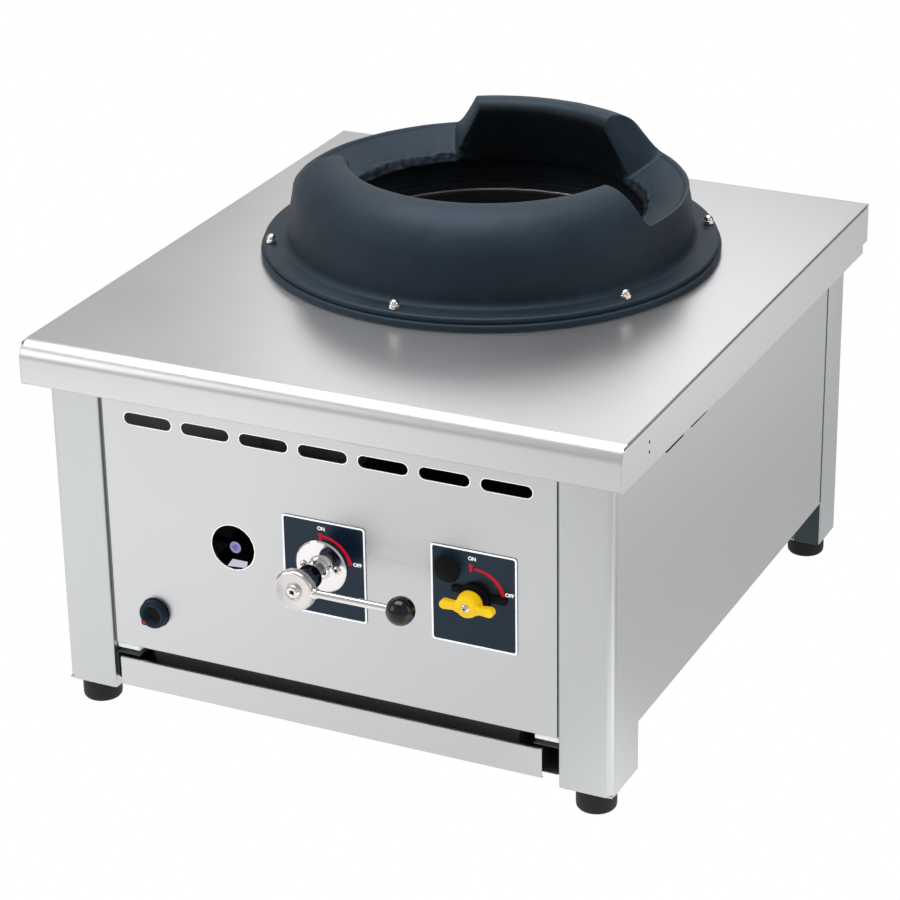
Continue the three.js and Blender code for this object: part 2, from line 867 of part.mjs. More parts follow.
// A dome nut with the stud that it closes.
function addRingNut(angle, number) {
  const place = onRing(boltCircleRadius, angle);
  const seat = above(flangeTop);
  const hex = prism("z", hexagon(place, nutAcrossFlats), [seat, seat + nutHeight]);
  const radius = nutAcrossFlats / 2 - 0.4;
  const dome = [
    [0, seat + nutHeight - 1],
    [radius, seat + nutHeight - 1],
    ...arc([0, seat + nutHeight], [radius, radius], [0, 90], 2),
  ];
  const stud = bar("z", studRadius, [topUnderside - studBelowTop, seat + 1], place, 6);
  add(`ring_nut_${number}`, join(hex, turned("z", dome, place, 10), stud), chrome);
}

// ---- Burner ----
function addBowl() {
  const profile = [
    [bowlRadius, topUnderside - bowlSheet],
    [bowlRadius, bowlWallBottom],
    [bowlDrainRadius, bowlBottom],
    [bowlDrainRadius, bowlBottom - bowlLip],
    [bowlDrainRadius - bowlSheet, bowlBottom - bowlLip],
    [bowlDrainRadius - bowlSheet, bowlBottom + 1],
    [bowlRadius - bowlSheet, bowlWallBottom + 1],
    [bowlRadius - bowlSheet, topUnderside],
    [bowlFlange, topUnderside],
    [bowlFlange, topUnderside - bowlSheet],
  ];
  const bowl = turned("z", profile, [ringX, ringY], roundSides + 2);
  const venturiHole = bar("y", burnerBossRadius + 4, [ringY - bowlFlange, ringY - 40], [leverX, leverZ]);
  const [tubeStart, tubeEnd] = lightingTubeLine();
  const lightingHole = tubeBetween(tubeStart, tubeEnd, lightingTubeRadius + touch);
  add("burner_bowl", cut(bowl, venturiHole, lightingHole), zincSteel);
}

function addBurnerBase() {
  const inner = burnerRadius - burnerWall;
  const floor = burnerBottom + burnerWall;
  const floorOfHollow = [
    [inner, floor + burnerFloorRise],
    [inner - burnerHollowInset, floor],
    [0, floor],
  ];
  const profile = [
    [0, burnerBottom],
    [burnerRadius - burnerFootInset, burnerBottom],
    [burnerRadius, burnerBottom + burnerFootRise],
    [burnerRadius, burnerTop],
    [inner, burnerTop],
    ...floorOfHollow,
  ];
  const bowl = turned("z", profile, [ringX, ringY], roundSides);
  const boss = bar("y", burnerBossRadius, [burnerInletY, ringY - inner + 4], [leverX, leverZ]);
  const bore = bar("y", venturiOutletRadius, [burnerInletY - 1, ringY - inner + 10], [leverX, leverZ]);
  const above = [
    [0, burnerTop + 1],
    [inner, burnerTop + 1],
  ];
  const hollow = turned("z", [...above, ...floorOfHollow], [ringX, ringY], roundSides);
  add("burner_base", cut(join(bowl, boss), bore, hollow), castIron);
}

// The burner's cap: a domed lid on a skirt that is cut into flame ports.
function addBurnerCap() {
  const [seat, crown, rim] = [burnerTop, burnerTop + burnerCapRise, burnerRadius - 1];
  const profile = [
    [0, crown - burnerCapWall],
    [rim - burnerCapDome - 3, crown - burnerCapWall - 2],
    [rim - burnerCapSeat, seat + 2],
    [rim - burnerCapSeat, seat],
    [rim, seat],
    [rim, seat + burnerCapRim],
    [rim - burnerCapDome, crown - 2],
    [0, crown],
  ];
  const lid = turned("z", profile, [ringX, ringY], roundSides + 2);
  const ports = Array.from({ length: burnerPorts }, (_, i) => {
    const port = new THREE.BoxGeometry(burnerPortLength, burnerPortWidth, burnerCapRise);
    port.translate(rim - burnerCapSeat, 0, seat + burnerCapRise / 2 + 2);
    return toSolid(port.rotateZ((2 * Math.PI * (i + 0.5)) / burnerPorts).translate(ringX, ringY, 0));
  });
  add("burner_cap", cut(lid, ...ports), castIron);
}

function addBurnerSupport() {
  const half = bodyHalf - sheet;
  const under = burnerBottom - supportThickness;
  const path = [
    [-half, burnerBottom + supportTab],
    [-half, under],
    [half, under],
    [half, burnerBottom + supportTab],
  ];
  const section = foldedSheet(path, supportThickness, [supportThickness + 2, supportThickness + 2]);
  const span = [ringY - supportWidth / 2, ringY + supportWidth / 2];
  add("burner_support", prism("y", section, span), zincSteel);
}

function addVenturi() {
  const flare = (from, to, share) => from + (to - from) * share;
  const lengths = [0, 0.3, 0.6, 1];
  const mouth = lengths.map((share) => [
    flare(venturiMouthRadius, venturiThroatRadius, Math.sin((share * Math.PI) / 2)),
    flare(venturiMouthY, venturiThroatY, share),
  ]);
  const inside = [...mouth, [venturiOutletRadius, burnerInletY]];
  const outside = inside.map(([radius, y]) => [radius + venturiWall, y]).reverse();
  add("venturi_tube", turned("y", [...inside, ...outside], [leverX, leverZ], roundSides), castIron);
}

function addInjector() {
  const start = valveY + valveBodyRadius + valveOutlet;
  const [hexEnd, tip] = [start + injectorHex, start + injectorHex + injectorLength];
  const hex = prism("y", hexagon([leverX, leverZ], 2 * injectorRadius), [start, hexEnd]);
  const nose = turned("y", [
    [0, hexEnd - 1],
    [injectorNoseRadius + 2, hexEnd - 1],
    [injectorNoseRadius, tip],
    [injectorJet, tip + injectorNoseRadius],
    [0, tip + injectorNoseRadius],
  ], [leverX, leverZ], roundSides - 4);
  add("injector", join(hex, nose), brass);
}

// ---- Main valve and its lever ----
function valveBody(x, z, bossStart) {
  const barrel = bar("z", valveBodyRadius, [z - valveBodyHalf, z + valveBodyHalf], [x, valveY]);
  const boss = bar("y", valveBossRadius, [bossStart, valveY], [x, z]);
  return join(barrel, boss);
}

function addMainValve() {
  const axis = [leverX, leverZ];
  const outlet = bar("y", valveBossRadius, [valveY, valveY + valveBodyRadius + valveOutlet], axis);
  const bore = bar("y", mainStemRadius + runningGap, [valveBossY - 1, stemBack + touch], axis);
  add("main_valve_body", cut(join(valveBody(leverX, leverZ, valveBossY), outlet), bore), brass);
  const stem = bar("y", mainStemRadius, [rodY, stemBack], axis, 20);
  add("main_valve_stem", stem, zincSteel);
}

function addLever() {
  const socketEnd = hubFaceY + hubRim / 2 - touch;
  const profile = [
    [0, hubFaceY + hubDishDepth],
    [hubDishRadius, hubFaceY + hubDishDepth],
    [hubDishRadius + 1, hubFaceY],
    [hubRadius - 2, hubFaceY + 0.5],
    [hubRadius, hubFaceY + 2.5],
    [hubRadius, hubFaceY + hubRim - 2],
    [hubRadius - 2, hubFaceY + hubRim],
    [hubNeckRadius + 3, hubFaceY + hubRim + 2],
    [hubNeckRadius, hubFaceY + hubRim + 7],
    [hubNeckRadius, hubNeckY],
    [0, hubNeckY],
  ];
  const axis = [leverX, leverZ];
  const rodStart = leverX + hubRadius - rodSocket;
  const rodEnd = leverX + leverLength - leverBallRadius / 2;
  const stemBore = bar("y", mainStemRadius + touch, [socketEnd, hubNeckY + 1], axis, 20);
  const rodBore = bar("x", leverRodRadius + touch, [rodStart - touch, leverX + 30], [rodY, leverZ], 14);
  add("lever_hub", cut(turned("y", profile, axis, 22), stemBore, rodBore), chrome);
  add("lever_rod", bar("x", leverRodRadius, [rodStart, rodEnd], [rodY, leverZ], 14), chrome);
  const sphere = new THREE.SphereGeometry(leverBallRadius, 20, 12);
  const ball = toSolid(sphere.rotateZ(Math.PI / 2).translate(leverX + leverLength, rodY, leverZ));
  const ballBore = bar("x", leverRodRadius + touch, [leverX + 40, rodEnd + touch], [rodY, leverZ], 14);
  add("lever_ball", cut(ball, ballBore), blackPlastic);
  const seat = hubFaceY + hubDishDepth;
  const nut = turned("y", [
    [0, seat - capNutLength],
    ...arc([0, seat - 2], [capNutRadius, capNutLength - 2], [300, 360], 3),
    [capNutRadius, seat],
    [0, seat],
  ], axis, 16);
  add("lever_cap_nut", nut, chrome);
}

const screwX = (side) => leverX + (side * escutcheonScrewSpacing) / 2;

function addEscutcheon() {
  const face = plateFace - escutcheonThickness;
  const bore = mainStemRadius + touch;
  const rim = [
    [bore, face - 6],
    [bore + 3.5, face - 6],
    [bore + 4.5, face],
    [escutcheonRadius - 1.2, face],
    [escutcheonRadius, face + 1.2],
    [escutcheonRadius, plateFace],
    [bore, plateFace],
  ];
  const holes = [-1, 1].map((side) =>
    bar("y", screwShankRadius + touch, [face - 1, plateFace + 1], [screwX(side), leverZ], 8),
  );
  add("escutcheon", cut(turned("y", rim, [leverX, leverZ], 26), ...holes), chrome);
  [-1, 1].forEach((side) => {
    const head = turned("y", [
      [0, face - screwHeadHeight],
      [screwHeadRadius - 1.4, face - screwHeadHeight],
      [screwHeadRadius, face - 0.8],
      [screwHeadRadius, face],
      [screwShankRadius, face],
      [screwShankRadius, face + screwLength],
      [0, face + screwLength],
    ], [screwX(side), leverZ], 12);
    add(side < 0 ? "escutcheon_screw_left" : "escutcheon_screw_right", head, chrome);
  });
}

// ---- Control plates ----
function plate(x) {
  const shape = roundedRectangle([x, plateZ], plateWidth, plateHeight, plateCorner);
  return prism("y", shape, [plateFace, panelFront]);
}

function addControlPlates() {
  const through = [plateFace - 1, panelFront + 1];
  const leftHoles = [
    bar("y", mainStemRadius + 2 * touch, through, [leverX, leverZ]),
    ...[-1, 1].map((side) => bar("y", screwShankRadius + touch, through, [screwX(side), leverZ], 8)),
  ];
  add("control_plate_left", cut(plate(plateLeftX), ...leftHoles), plateNavy);
  const rightHoles = [
    bar("y", ballStemRadius + 2 * touch, through, [handleX, handleZ]),
    bar("y", plugRadius - 2, through, [plugX, plugZ]),
  ];
  add("control_plate_right", cut(plate(plateRightX), ...rightHoles), plateNavy);
  const plug = turned("y", [
    [0, plateFace - plugHeadThickness],
    [plugRadius - 1, plateFace - plugHeadThickness],
    [plugRadius, plateFace],
    [plugRadius - 2 - touch, plateFace],
    [plugRadius - 2 - touch, panelBack + 5],
    [0, panelBack + 5],
  ], [plugX, plugZ], 22);
  add("hole_plug", plug, blackPlastic);
}

// ---- Ball valve and its butterfly handle ----
function addBallValve() {
  const axis = [handleX, handleZ];
  const stemBore = bar("y", ballStemRadius + runningGap, [panelBack - 1, stemBack + touch], axis);
  add("ball_valve_body", cut(valveBody(handleX, handleZ, panelBack), stemBore), brass);
  const stem = bar("y", ballStemRadius, [handleFrontY + handleFace, stemBack], axis, 18);
  add("ball_valve_stem", stem, zincSteel);
  const collarFront = plateFace - collarLength;
  const collar = turned("y", [
    [0, collarFront],
    [collarRadius - 3, collarFront],
    [collarRadius, collarFront + 3],
    [collarRadius, plateFace],
    [0, plateFace],
  ], axis, 20);
  const earDepth = [plateFace - stopThickness, plateFace - touch / 2];
  const ears = stopEars.map(({ reach, low, high }) => {
    const span = [handleX, handleX + reach].sort((a, b) => a - b);
    return box(span, earDepth, [handleZ + low, handleZ + high]);
  });
  const bore = bar("y", ballStemRadius + runningGap, [collarFront - 1, plateFace + 1], axis, 20);
  add("valve_collar", cut(join(collar, ...ears), bore), blackPlastic);
}

function addHandle() {
  const axis = [handleX, handleZ];
  const back = handleFrontY + handleLength - runningGap;
  const hub = turned("y", [
    [0, handleFrontY],
    [handleHubRadius - 4, handleFrontY],
    [handleHubRadius - 1, handleFrontY + 3],
    [handleHubRadius, back],
    [0, back],
  ], axis, 22);
  const half = handleSpan / 2;
  const [tip, root] = [handleWingHeight / 2, handleWingHeight / 2 + handleWingRoot];
  const wing = (side) => {
    const points = [
      [side * 4, root],
      [side * (half - handleWingNeck), tip - 1],
      ...arc([side * (half - tip), 0], [side * tip, tip], [90, -90], 6),
      [side * (half - handleWingNeck), 1 - tip],
      [side * 4, -root],
    ];
    const shape = outline(points.map(([u, v]) => [handleX + u, handleZ + v]));
    return prism("y", shape, [back - handleWingDepth, back]);
  };
  const seat = handleFrontY + handleFace - touch;
  const bore = bar("y", ballStemRadius + touch, [seat, back + 1], axis, 18);
  const screwHole = bar("y", screwShankRadius + touch, [handleFrontY - 1, back], axis, 8);
  add("valve_handle", cut(join(hub, wing(-1), wing(1)), bore, screwHole), yellowVinyl);
  const screw = turned("y", [
    [0, handleFrontY - screwHeadHeight],
    [screwHeadRadius - 1.4, handleFrontY - screwHeadHeight],
    [screwHeadRadius, handleFrontY],
    [screwShankRadius, handleFrontY],
    [screwShankRadius, seat],
    [0, seat],
  ], axis, 12);
  add("valve_handle_screw", screw, chrome);
}

// ---- Gas pipes ----
function addPipes() {
  const inletFace = rearPanelFace;
  const supply = [
    [handleX, inletFace, supplyZ],
    [handleX, valveY, supplyZ],
    [handleX, valveY, handleZ - valveBodyHalf],
  ];
  add("supply_pipe", bentPipe(supply, pipeBend, pipeRadius, 12), zincSteel);
  const link = [
    [handleX, valveY, handleZ + valveBodyHalf],
    [handleX, valveY, linkZ],
    [leverX, valveY, linkZ],
    [leverX, valveY, leverZ + valveBodyHalf],
  ];
  add("link_pipe", bentPipe(link, linkBend, pipeRadius, 12), zincSteel);
  const start = inletFace;
  const hex = prism("y", hexagon([handleX, supplyZ], inletAcrossFlats), [start, start + inletLength / 2]);
  const spigot = bar("y", inletBoreRadius + 4, [start, start + inletLength], [handleX, supplyZ], 20);
  const bore = bar("y", inletBoreRadius, [start + 4, start + inletLength + 1], [handleX, supplyZ], 16);
  add("gas_inlet", cut(join(hex, spigot), bore), brass);
}

// ---- Bracket from the worktop down to the main valve ----
function addHanger() {
  const back = hangerFrontY + hangerTopFlange;
  const through = [hangerFrontY - 1, hangerFrontY + sheet + 1];
  const path = [
    [back, topUnderside - sheet],
    [hangerFrontY, topUnderside - sheet],
    [hangerFrontY, hangerFoot],
  ];
  const section = foldedSheet(path, sheet, [hangerBend]);
  const strip = prism("x", section, [hangerLeft, hangerRight]);
  const taper = (edge, side) => {
    const foot = leverX + side * hangerFootHalf;
    const beyond = side * width;
    return prism(
      "y",
      outline([
        [foot, hangerFoot - 1],
        [foot, leverZ + hangerTaperFoot],
        [edge, topUnderside - hangerTaperTop],
        [edge + beyond, topUnderside - hangerTaperTop],
        [foot + beyond, hangerFoot - 1],
      ]),
      through,
    );
  };
  const hole = bar("y", valveBossRadius + touch, through, [leverX, leverZ]);
  add("valve_bracket", cut(strip, taper(hangerLeft, -1), taper(hangerRight, 1), hole), brushedSteel);
}

// ---- Pilot ----
function addPilotTap() {
  const axis = [tapX, tapZ];
  const bore = rotorRadius + runningGap;
  const cupFloor = panelBack + tapCupDepth;
  const turnedBody = turned("y", [
    [knobHoleRadius, panelBack],
    [tapCupRadius, panelBack],
    [tapCupRadius, cupFloor],
    [tapBodyRadius, cupFloor + 4],
    [tapBodyRadius, tapBodyBack],
    [0, tapBodyBack],
    [0, tapBodyBack - tapEndWall],
    [bore, tapBodyBack - tapEndWall],
    [bore, cupFloor],
    [knobHoleRadius, cupFloor],
  ], axis, 16);
  const spigot = bar("z", tapSpigotRadius, [tapZ - tapReach, tapZ + tapReach], [tapX, tapY], 10);
  const rotorBore = bar("y", bore, [cupFloor - 1, tapBodyBack - tapEndWall], axis, 16);
  const body = cut(join(turnedBody, spigot), rotorBore);
  add("pilot_tap_body", body, brass);
  const rotor = turned("y", [
    [spindleRadius + runningGap, tapBodyFront],
    [rotorRadius, tapBodyFront],
    [rotorRadius, tapBodyBack - tapEndWall - runningGap],
    [spindleRadius + runningGap, tapBodyBack - tapEndWall - runningGap],
  ], axis, 14);
  add("pilot_rotor", rotor, brass);
}

// The pilot knob: a cupped round knob with a pointer at its lower left, and its spindle.
function addPilotKnob() {
  const axis = [tapX, tapZ];
  const back = knobFrontY + knobDepth;
  const spindleEnd = tapBodyBack - tapEndWall - knobTravel - 1;
  const cap = turned("y", [
    [0, knobFrontY + knobCupDepth],
    [knobCupRadius - 1, knobFrontY + knobCupDepth],
    [knobCupRadius, knobFrontY + 0.5],
    [knobRadius - 1, knobFrontY],
    [knobRadius, knobFrontY + 1.2],
    [knobRadius, back],
    [spindleRadius + 2, back],
    [spindleRadius, back + 2],
    [spindleRadius, spindleEnd],
    [0, spindleEnd],
  ], axis, 20);
  const pointer = new THREE.BoxGeometry(2 * knobPointer, knobPointerDepth, 6);
  pointer.translate(knobRadius, knobFrontY + 0.4 + knobPointerDepth / 2, 0);
  pointer.rotateY(THREE.MathUtils.degToRad(135)).translate(tapX, 0, tapZ);
  add("pilot_knob", join(cap, toSolid(pointer)), blackPlastic);
}

function addPilotBurner() {
  const half = bracketWidth / 2;
  const shelfBack = pilotY + 14;
  const path = [
    [shelfBack, pilotShelfZ],
    [panelBack, pilotShelfZ],
    [panelBack, pilotShelfZ - 26],
  ];
  const section = foldedSheet(path, bracketSheet, [bracketSheet + 1]);
  add("pilot_bracket", prism("x", section, [pilotX - half, pilotX + half]), zincSteel);
  const wide = pilotBodyWidth / 2;
  const body = box([pilotX - wide, pilotX + wide], [pilotY - 6, pilotY + 10], [pilotShelfZ, pilotZ + 9]);
  add("pilot_burner", body, brass);
  const tip = turned("y", [
    [0, pilotY - 6 - pilotTipLength],
    [pilotTipRadius - 1, pilotY - 6 - pilotTipLength],
    [pilotTipRadius, pilotY - 5 - pilotTipLength],
    [pilotTipRadius, pilotY - 6],
    [0, pilotY - 6],
  ], [pilotX, pilotZ], 20);
  add("pilot_electrode", tip, ceramic);
}

// The line of the lighting tube, from behind the pilot burner into the burner's bowl.
function lightingTubeLine() {
  const start = new THREE.Vector3(pilotX, pilotY + 10.3, pilotZ + 18);
  const end = new THREE.Vector3(ringX - burnerRadius * 0.75, ringY - burnerRadius - 4, burnerTop + 12);
  return [start, end];
}

function tubeBetween(start, end, radius, sides = 16) {
  const run = end.clone().sub(start);
  const tube = new THREE.CylinderGeometry(radius, radius, run.length(), sides);
  const turn = new THREE.Quaternion().setFromUnitVectors(
    new THREE.Vector3(0, 1, 0),
    run.clone().normalize(),
  );
  const middle = start.clone().add(end).multiplyScalar(0.5);
  return toSolid(tube.applyQuaternion(turn).translate(middle.x, middle.y, middle.z));
}

function addPilotTubes() {
  const tapTop = tapZ + tapReach;
  const feed = [
    [tapX, tapY, tapTop],
    [tapX, tapY, pilotZ - 4],
    [tapX, pilotY + 2, pilotZ - 4],
    [pilotX - pilotBodyWidth / 2, pilotY + 2, pilotZ - 4],
  ];
  add("pilot_tube", bentPipe(feed, 6, tubeRadius, 6, 3), copper);
  const supplyStart = leverX - valveBodyRadius - touch;
  const supplyZLow = tapZ - tapReach;
  const supply = [
    [supplyStart, valveY, leverZ - 10],
    [supplyStart - 24, valveY, leverZ - 10],
    [supplyStart - 24, valveY, supplyZLow - 14],
    [tapX, valveY, supplyZLow - 14],
    [tapX, tapY, supplyZLow - 14],
    [tapX, tapY, supplyZLow],
  ];
  add("pilot_supply_tube", bentPipe(supply, 9, tubeRadius, 6, 3), copper);
  const [start, end] = lightingTubeLine();
  const outer = tubeBetween(start, end, lightingTubeRadius);
  const direction = end.clone().sub(start).normalize();
  const bore = tubeBetween(
    start.clone().addScaledVector(direction, -2),
    end.clone().addScaledVector(direction, 2),
    lightingTubeRadius - lightingTubeWall,
  );
  add("lighting_tube", cut(outer, bore), zincSteel);
}

// ---- Drip tray: a steel drawer with a black pan in it, on two angle runners ----
function addTray() {
  const [left, right] = [trayX - trayHalf, trayX + trayHalf];
  const back = trayFrontY + trayLength;
  const fasciaPath = [
    [trayFrontY + trayHem, trayFasciaTop],
    [trayFrontY, trayFasciaTop],
    [trayFrontY, trayFasciaBottom],
    [trayFrontY + trayHem, trayFasciaBottom],
  ];
  const fold = traySheet + 0.2;
  const fascia = prism("x", foldedSheet(fasciaPath, traySheet, [fold, fold]), [left, right]);
  const [tubLeft, tubRight] = [left + trayEndLap, right - trayEndLap];
  const tubTop = trayFasciaTop - traySheet / 2;
  const tub = box([tubLeft, tubRight], [trayFrontY + traySheet / 2, back], [trayFloor, tubTop]);
  const inside = box(
    [tubLeft + traySheet, tubRight - traySheet],
    [trayFrontY + traySheet, back - traySheet],
    [trayFloor + traySheet, tubTop + 1],
  );
  add("tray_drawer", join(fascia, cut(tub, inside)), brushedSteel);

  const base = trayFloor + traySheet;
  const panFront = trayFrontY + panBehindFascia;
  const panBack = back - panBehindFascia;
  const level = (inset, height) => {
    const [x0, x1] = [left + panInset + inset, right - panInset - inset];
    const [y0, y1] = [panFront + inset, panBack - inset];
    return [
      [x0, y0, height],
      [x1, y0, height],
      [x1, y1, height],
      [x0, y1, height],
    ];
  };
  const shell = block(level(panTaper, base), level(nothing, panRim));
  const hollow = block(level(panTaper + panSheet, base + panSheet), level(panSheet, panRim + 0.01));
  add("tray_pan", cut(shell, hollow), blackEnamel);
}

function addRunner(side) {
  const outer = legInner;
  const top = trayFloor - runningGap;
  const path = [
    [outer - runnerWidth, top - sheet],
    [outer, top - sheet],
    [outer, keeperTop],
    [outer - runnerWidth, keeperTop],
  ];
  const section = foldedSheet(path, sheet, [foldRadius, foldRadius]);
  const span = [frontInset + runnerStart, bodyBack - legReturn / 2];
  const runner = prism("y", section, span);
  add(side < 0 ? "runner_left" : "runner_right", mirrored(runner, side), zincSteel);
}

// ---- The whole range ----
addWorktop();
[-1, 1].forEach((side) => {
  addSidePanel(side);
  addRearLeg(side);
  addFoot("front", side);
  addFoot("rear", side);
});
addFrontPanel();
addRearPanel();
addWokRing();
addRingBase();
boltAngles.forEach((angle, i) => addRingNut(angle, i + 1));
addBowl();
addBurnerBase();
addBurnerCap();
addBurnerSupport();
addVenturi();
addInjector();
addMainValve();
addLever();
addEscutcheon();
addControlPlates();
addBallValve();
addHandle();
addPipes();
addHanger();
addPilotTap();
addPilotKnob();
addPilotBurner();
addPilotTubes();
addTray();
[-1, 1].forEach((side) => addRunner(side));

// The origin is on the floor, under the middle of the space that the range takes.
const foremost = Math.min(hubFaceY - capNutLength, rodY - leverBallRadius);
range.position.y = -(foremost + depth) / 2;

export default range;
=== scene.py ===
"""Looks of a one-ring gas wok range: finishes, fine pieces, studio and camera on its CAD frame.

Sizes are millimetres, unless a description names another unit: x from the middle to the right,
y from the worktop's front edge to the back, z up from the floor. Blender gets metres in the frame
of the CAD model.
"""

from __future__ import annotations

import logging
import math
from dataclasses import dataclass, field
from enum import Enum
from typing import Sequence

import bmesh
import bpy
from mathutils import Euler, Matrix, Vector, noise

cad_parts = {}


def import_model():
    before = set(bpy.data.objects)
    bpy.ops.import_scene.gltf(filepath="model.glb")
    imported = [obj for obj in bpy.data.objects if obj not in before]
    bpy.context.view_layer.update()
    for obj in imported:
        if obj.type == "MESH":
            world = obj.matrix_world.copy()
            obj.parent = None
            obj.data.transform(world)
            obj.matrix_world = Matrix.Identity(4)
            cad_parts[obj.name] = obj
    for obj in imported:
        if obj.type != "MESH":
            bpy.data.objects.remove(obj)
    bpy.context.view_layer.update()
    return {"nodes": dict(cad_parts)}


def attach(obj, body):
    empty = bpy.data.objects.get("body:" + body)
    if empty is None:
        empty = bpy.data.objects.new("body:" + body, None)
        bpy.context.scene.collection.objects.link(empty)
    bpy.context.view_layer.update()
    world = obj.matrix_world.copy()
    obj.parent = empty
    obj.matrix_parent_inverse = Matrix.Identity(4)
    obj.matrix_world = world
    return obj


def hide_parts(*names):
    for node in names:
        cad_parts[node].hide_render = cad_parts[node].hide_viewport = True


LOG = logging.getLogger("wok_range")

FRONT_EDGE_MM = -309.75  # the worktop's front edge in the CAD frame
SIDES = (("left", -1), ("right", 1))

Point = tuple[float, float, float]
Pair = tuple[float, float]
Line = Sequence[Pair]
Socket = bpy.types.NodeSocket


def at(x: float, y: float, z: float) -> Vector:
    """A place on the range.

    Args:
        x: millimetres to the right of the middle.
        y: millimetres behind the worktop's front edge.
        z: millimetres above the floor.

    Returns:
        The same place in metres in the CAD frame.
    """
    return Vector((x, y + FRONT_EDGE_MM, z)) / 1000.0


def colour(code: str, gain: float = 1.0) -> tuple[float, float, float, float]:
    """Turns an sRGB hex code into the linear colour that Blender's sockets take.

    Args:
        code: # and six hexadecimal digits.
        gain: what the linear values are multiplied by.

    Returns:
        Linear red, green and blue, and alpha.
    """
    raw = [int(code[i : i + 2], 16) / 255.0 for i in (1, 3, 5)]
    linear = [v / 12.92 if v <= 0.04045 else ((v + 0.055) / 1.055) ** 2.4 for v in raw]
    red, green, blue = (min(1.0, v * gain) for v in linear)
    return (red, green, blue, 1.0)


def grey(value: float) -> tuple[float, float, float, float]:
    """A neutral linear colour.

    Args:
        value: its red, green and blue.

    Returns:
        The colour with alpha 1.
    """
    return (value, value, value, 1.0)


def per_mm(size: float) -> float:
    """The texture scale of a pattern whose features are this many millimetres across.

    Args:
        size: the feature's size.

    Returns:
        Repeats per metre.
    """
    return 1000.0 / size


# Shader graphs


class Graph:
    """Adds nodes with their settings and links to one node tree."""

    def __init__(self, tree: bpy.types.NodeTree) -> None:
        self.tree = tree
        tree.nodes.clear()

    def add(self, kind: str, inputs: dict | None = None, **settings: object) -> bpy.types.Node:
        """Adds one node.

        Args:
            kind: the node's type name, without its ShaderNode prefix.
            inputs: socket name or index to a value, or to the socket that feeds it.
            **settings: the node's own properties.

        Returns:
            The node.
        """
        node = self.tree.nodes.new("ShaderNode" + kind)
        for name, value in settings.items():
            setattr(node, name, value)
        for socket, value in (inputs or {}).items():
            if isinstance(value, bpy.types.NodeSocket):
                self.tree.links.new(value, node.inputs[socket])
            else:
                node.inputs[socket].default_value = value
        return node

    def ramp(self, factor: Socket, stops: Sequence[tuple]) -> Socket:
        """Adds a colour ramp.

        Args:
            factor: the socket that drives it.
            stops: (position, colour) pairs, from low to high.

        Returns:
            The ramp's colour.
        """
        node = self.add("ValToRGB", {"Fac": factor})
        elements = node.color_ramp.elements
        while len(elements) < len(stops):
            elements.new(1.0)
        for element, (position, value) in zip(elements, stops):
            element.position = position
            element.color = value
        return node.outputs["Color"]

    def spread(
        self, value: Socket, given: Pair = (0.0, 1.0), made: Pair = (0.0, 1.0), kind: str = "LINEAR"
    ) -> Socket:
        """Maps one range of values to another, and clamps.

        Args:
            value: the socket to map.
            given: the value's first and last.
            made: what these become.
            kind: the interpolation.

        Returns:
            The mapped value.
        """
        ends = {"From Min": given[0], "From Max": given[1], "To Min": made[0], "To Max": made[1]}
        return self.add("MapRange", {"Value": value, **ends}, interpolation_type=kind).outputs[0]

    def maths(self, operation: str, first: Socket | float, second: Socket | float) -> Socket:
        """Joins two numbers.

        Args:
            operation: of the Math node.
            first: the one.
            second: the other.

        Returns:
            The result.
        """
        return self.add("Math", {0: first, 1: second}, operation=operation).outputs[0]

    def vector(self, operation: str, *values: Socket | Point | Vector) -> Socket:
        """Works on one or two vectors.

        Args:
            operation: of the VectorMath node.
            *values: the vectors.

        Returns:
            The result, a number for a length or a dot product.
        """
        node = self.add("VectorMath", dict(enumerate(values)), operation=operation)
        return node.outputs["Value" if operation in ("LENGTH", "DOT_PRODUCT") else "Vector"]


class Surface(Graph):
    """The nodes of one finish: its shader, and the patterns that feed it."""

    def __init__(self, tree: bpy.types.NodeTree, settings: dict) -> None:
        super().__init__(tree)
        self.shader = self.add("BsdfPrincipled", settings)
        self.place = self.add("TexCoord").outputs["Object"]
        self.add("OutputMaterial", {"Surface": self.shader.outputs[0]})

    def feed(self, name: str, source: Socket) -> None:
        """Links a pattern to the shader.

        Args:
            name: the shader's input.
            source: the pattern.
        """
        self.tree.links.new(source, self.shader.inputs[name])

    def grains(self, size: float, detail: float) -> Socket:
        """Adds noise.

        Args:
            size: of its features.
            detail: octaves of finer noise on it.

        Returns:
            The noise, 0 to 1.
        """
        inputs = {"Vector": self.place, "Scale": per_mm(size), "Detail": detail}
        return self.add("TexNoise", inputs).outputs["Fac"]

    def rounded(self, radius: float) -> Socket:
        """Adds edges that look rounded.

        Args:
            radius:.

        Returns:
            The normal.
        """
        return self.add("Bevel", {"Radius": radius / 1000.0}, samples=4).outputs[0]

    def bump(
        self, height: Socket, strength: float, relief: float, under: Socket | None = None
    ) -> Socket:
        """Adds bumps.

        Args:
            height: the pattern, 0 to 1.
            strength: share of the full tilt.
            relief: height of the pattern.
            under: the normal that they lie on.

        Returns:
            The normal.
        """
        inputs = {"Height": height, "Strength": strength, "Distance": relief / 1000.0}
        if under:
            inputs["Normal"] = under
        return self.add("Bump", inputs).outputs[0]

    def cover(self, share: Socket, low: Socket, code: str) -> Socket:
        """Lays one colour over another.

        Args:
            share: how much of it, 0 to 1.
            low: the colour below.
            code: sRGB hex colour of the cover.

        Returns:
            The mixed colour.
        """
        return self.add("Mix", {0: share, 6: low, 7: colour(code)}, data_type="RGBA").outputs[2]

    def roughen(self, pattern: Socket, middle: float, less: float, more: float) -> None:
        """Varies the roughness with a pattern.

        Args:
            pattern: 0 to 1.
            middle: the finish's roughness.
            less: how far it goes down.
            more: how far it goes up.
        """
        self.feed("Roughness", self.spread(pattern, made=(max(0.02, middle - less), middle + more)))


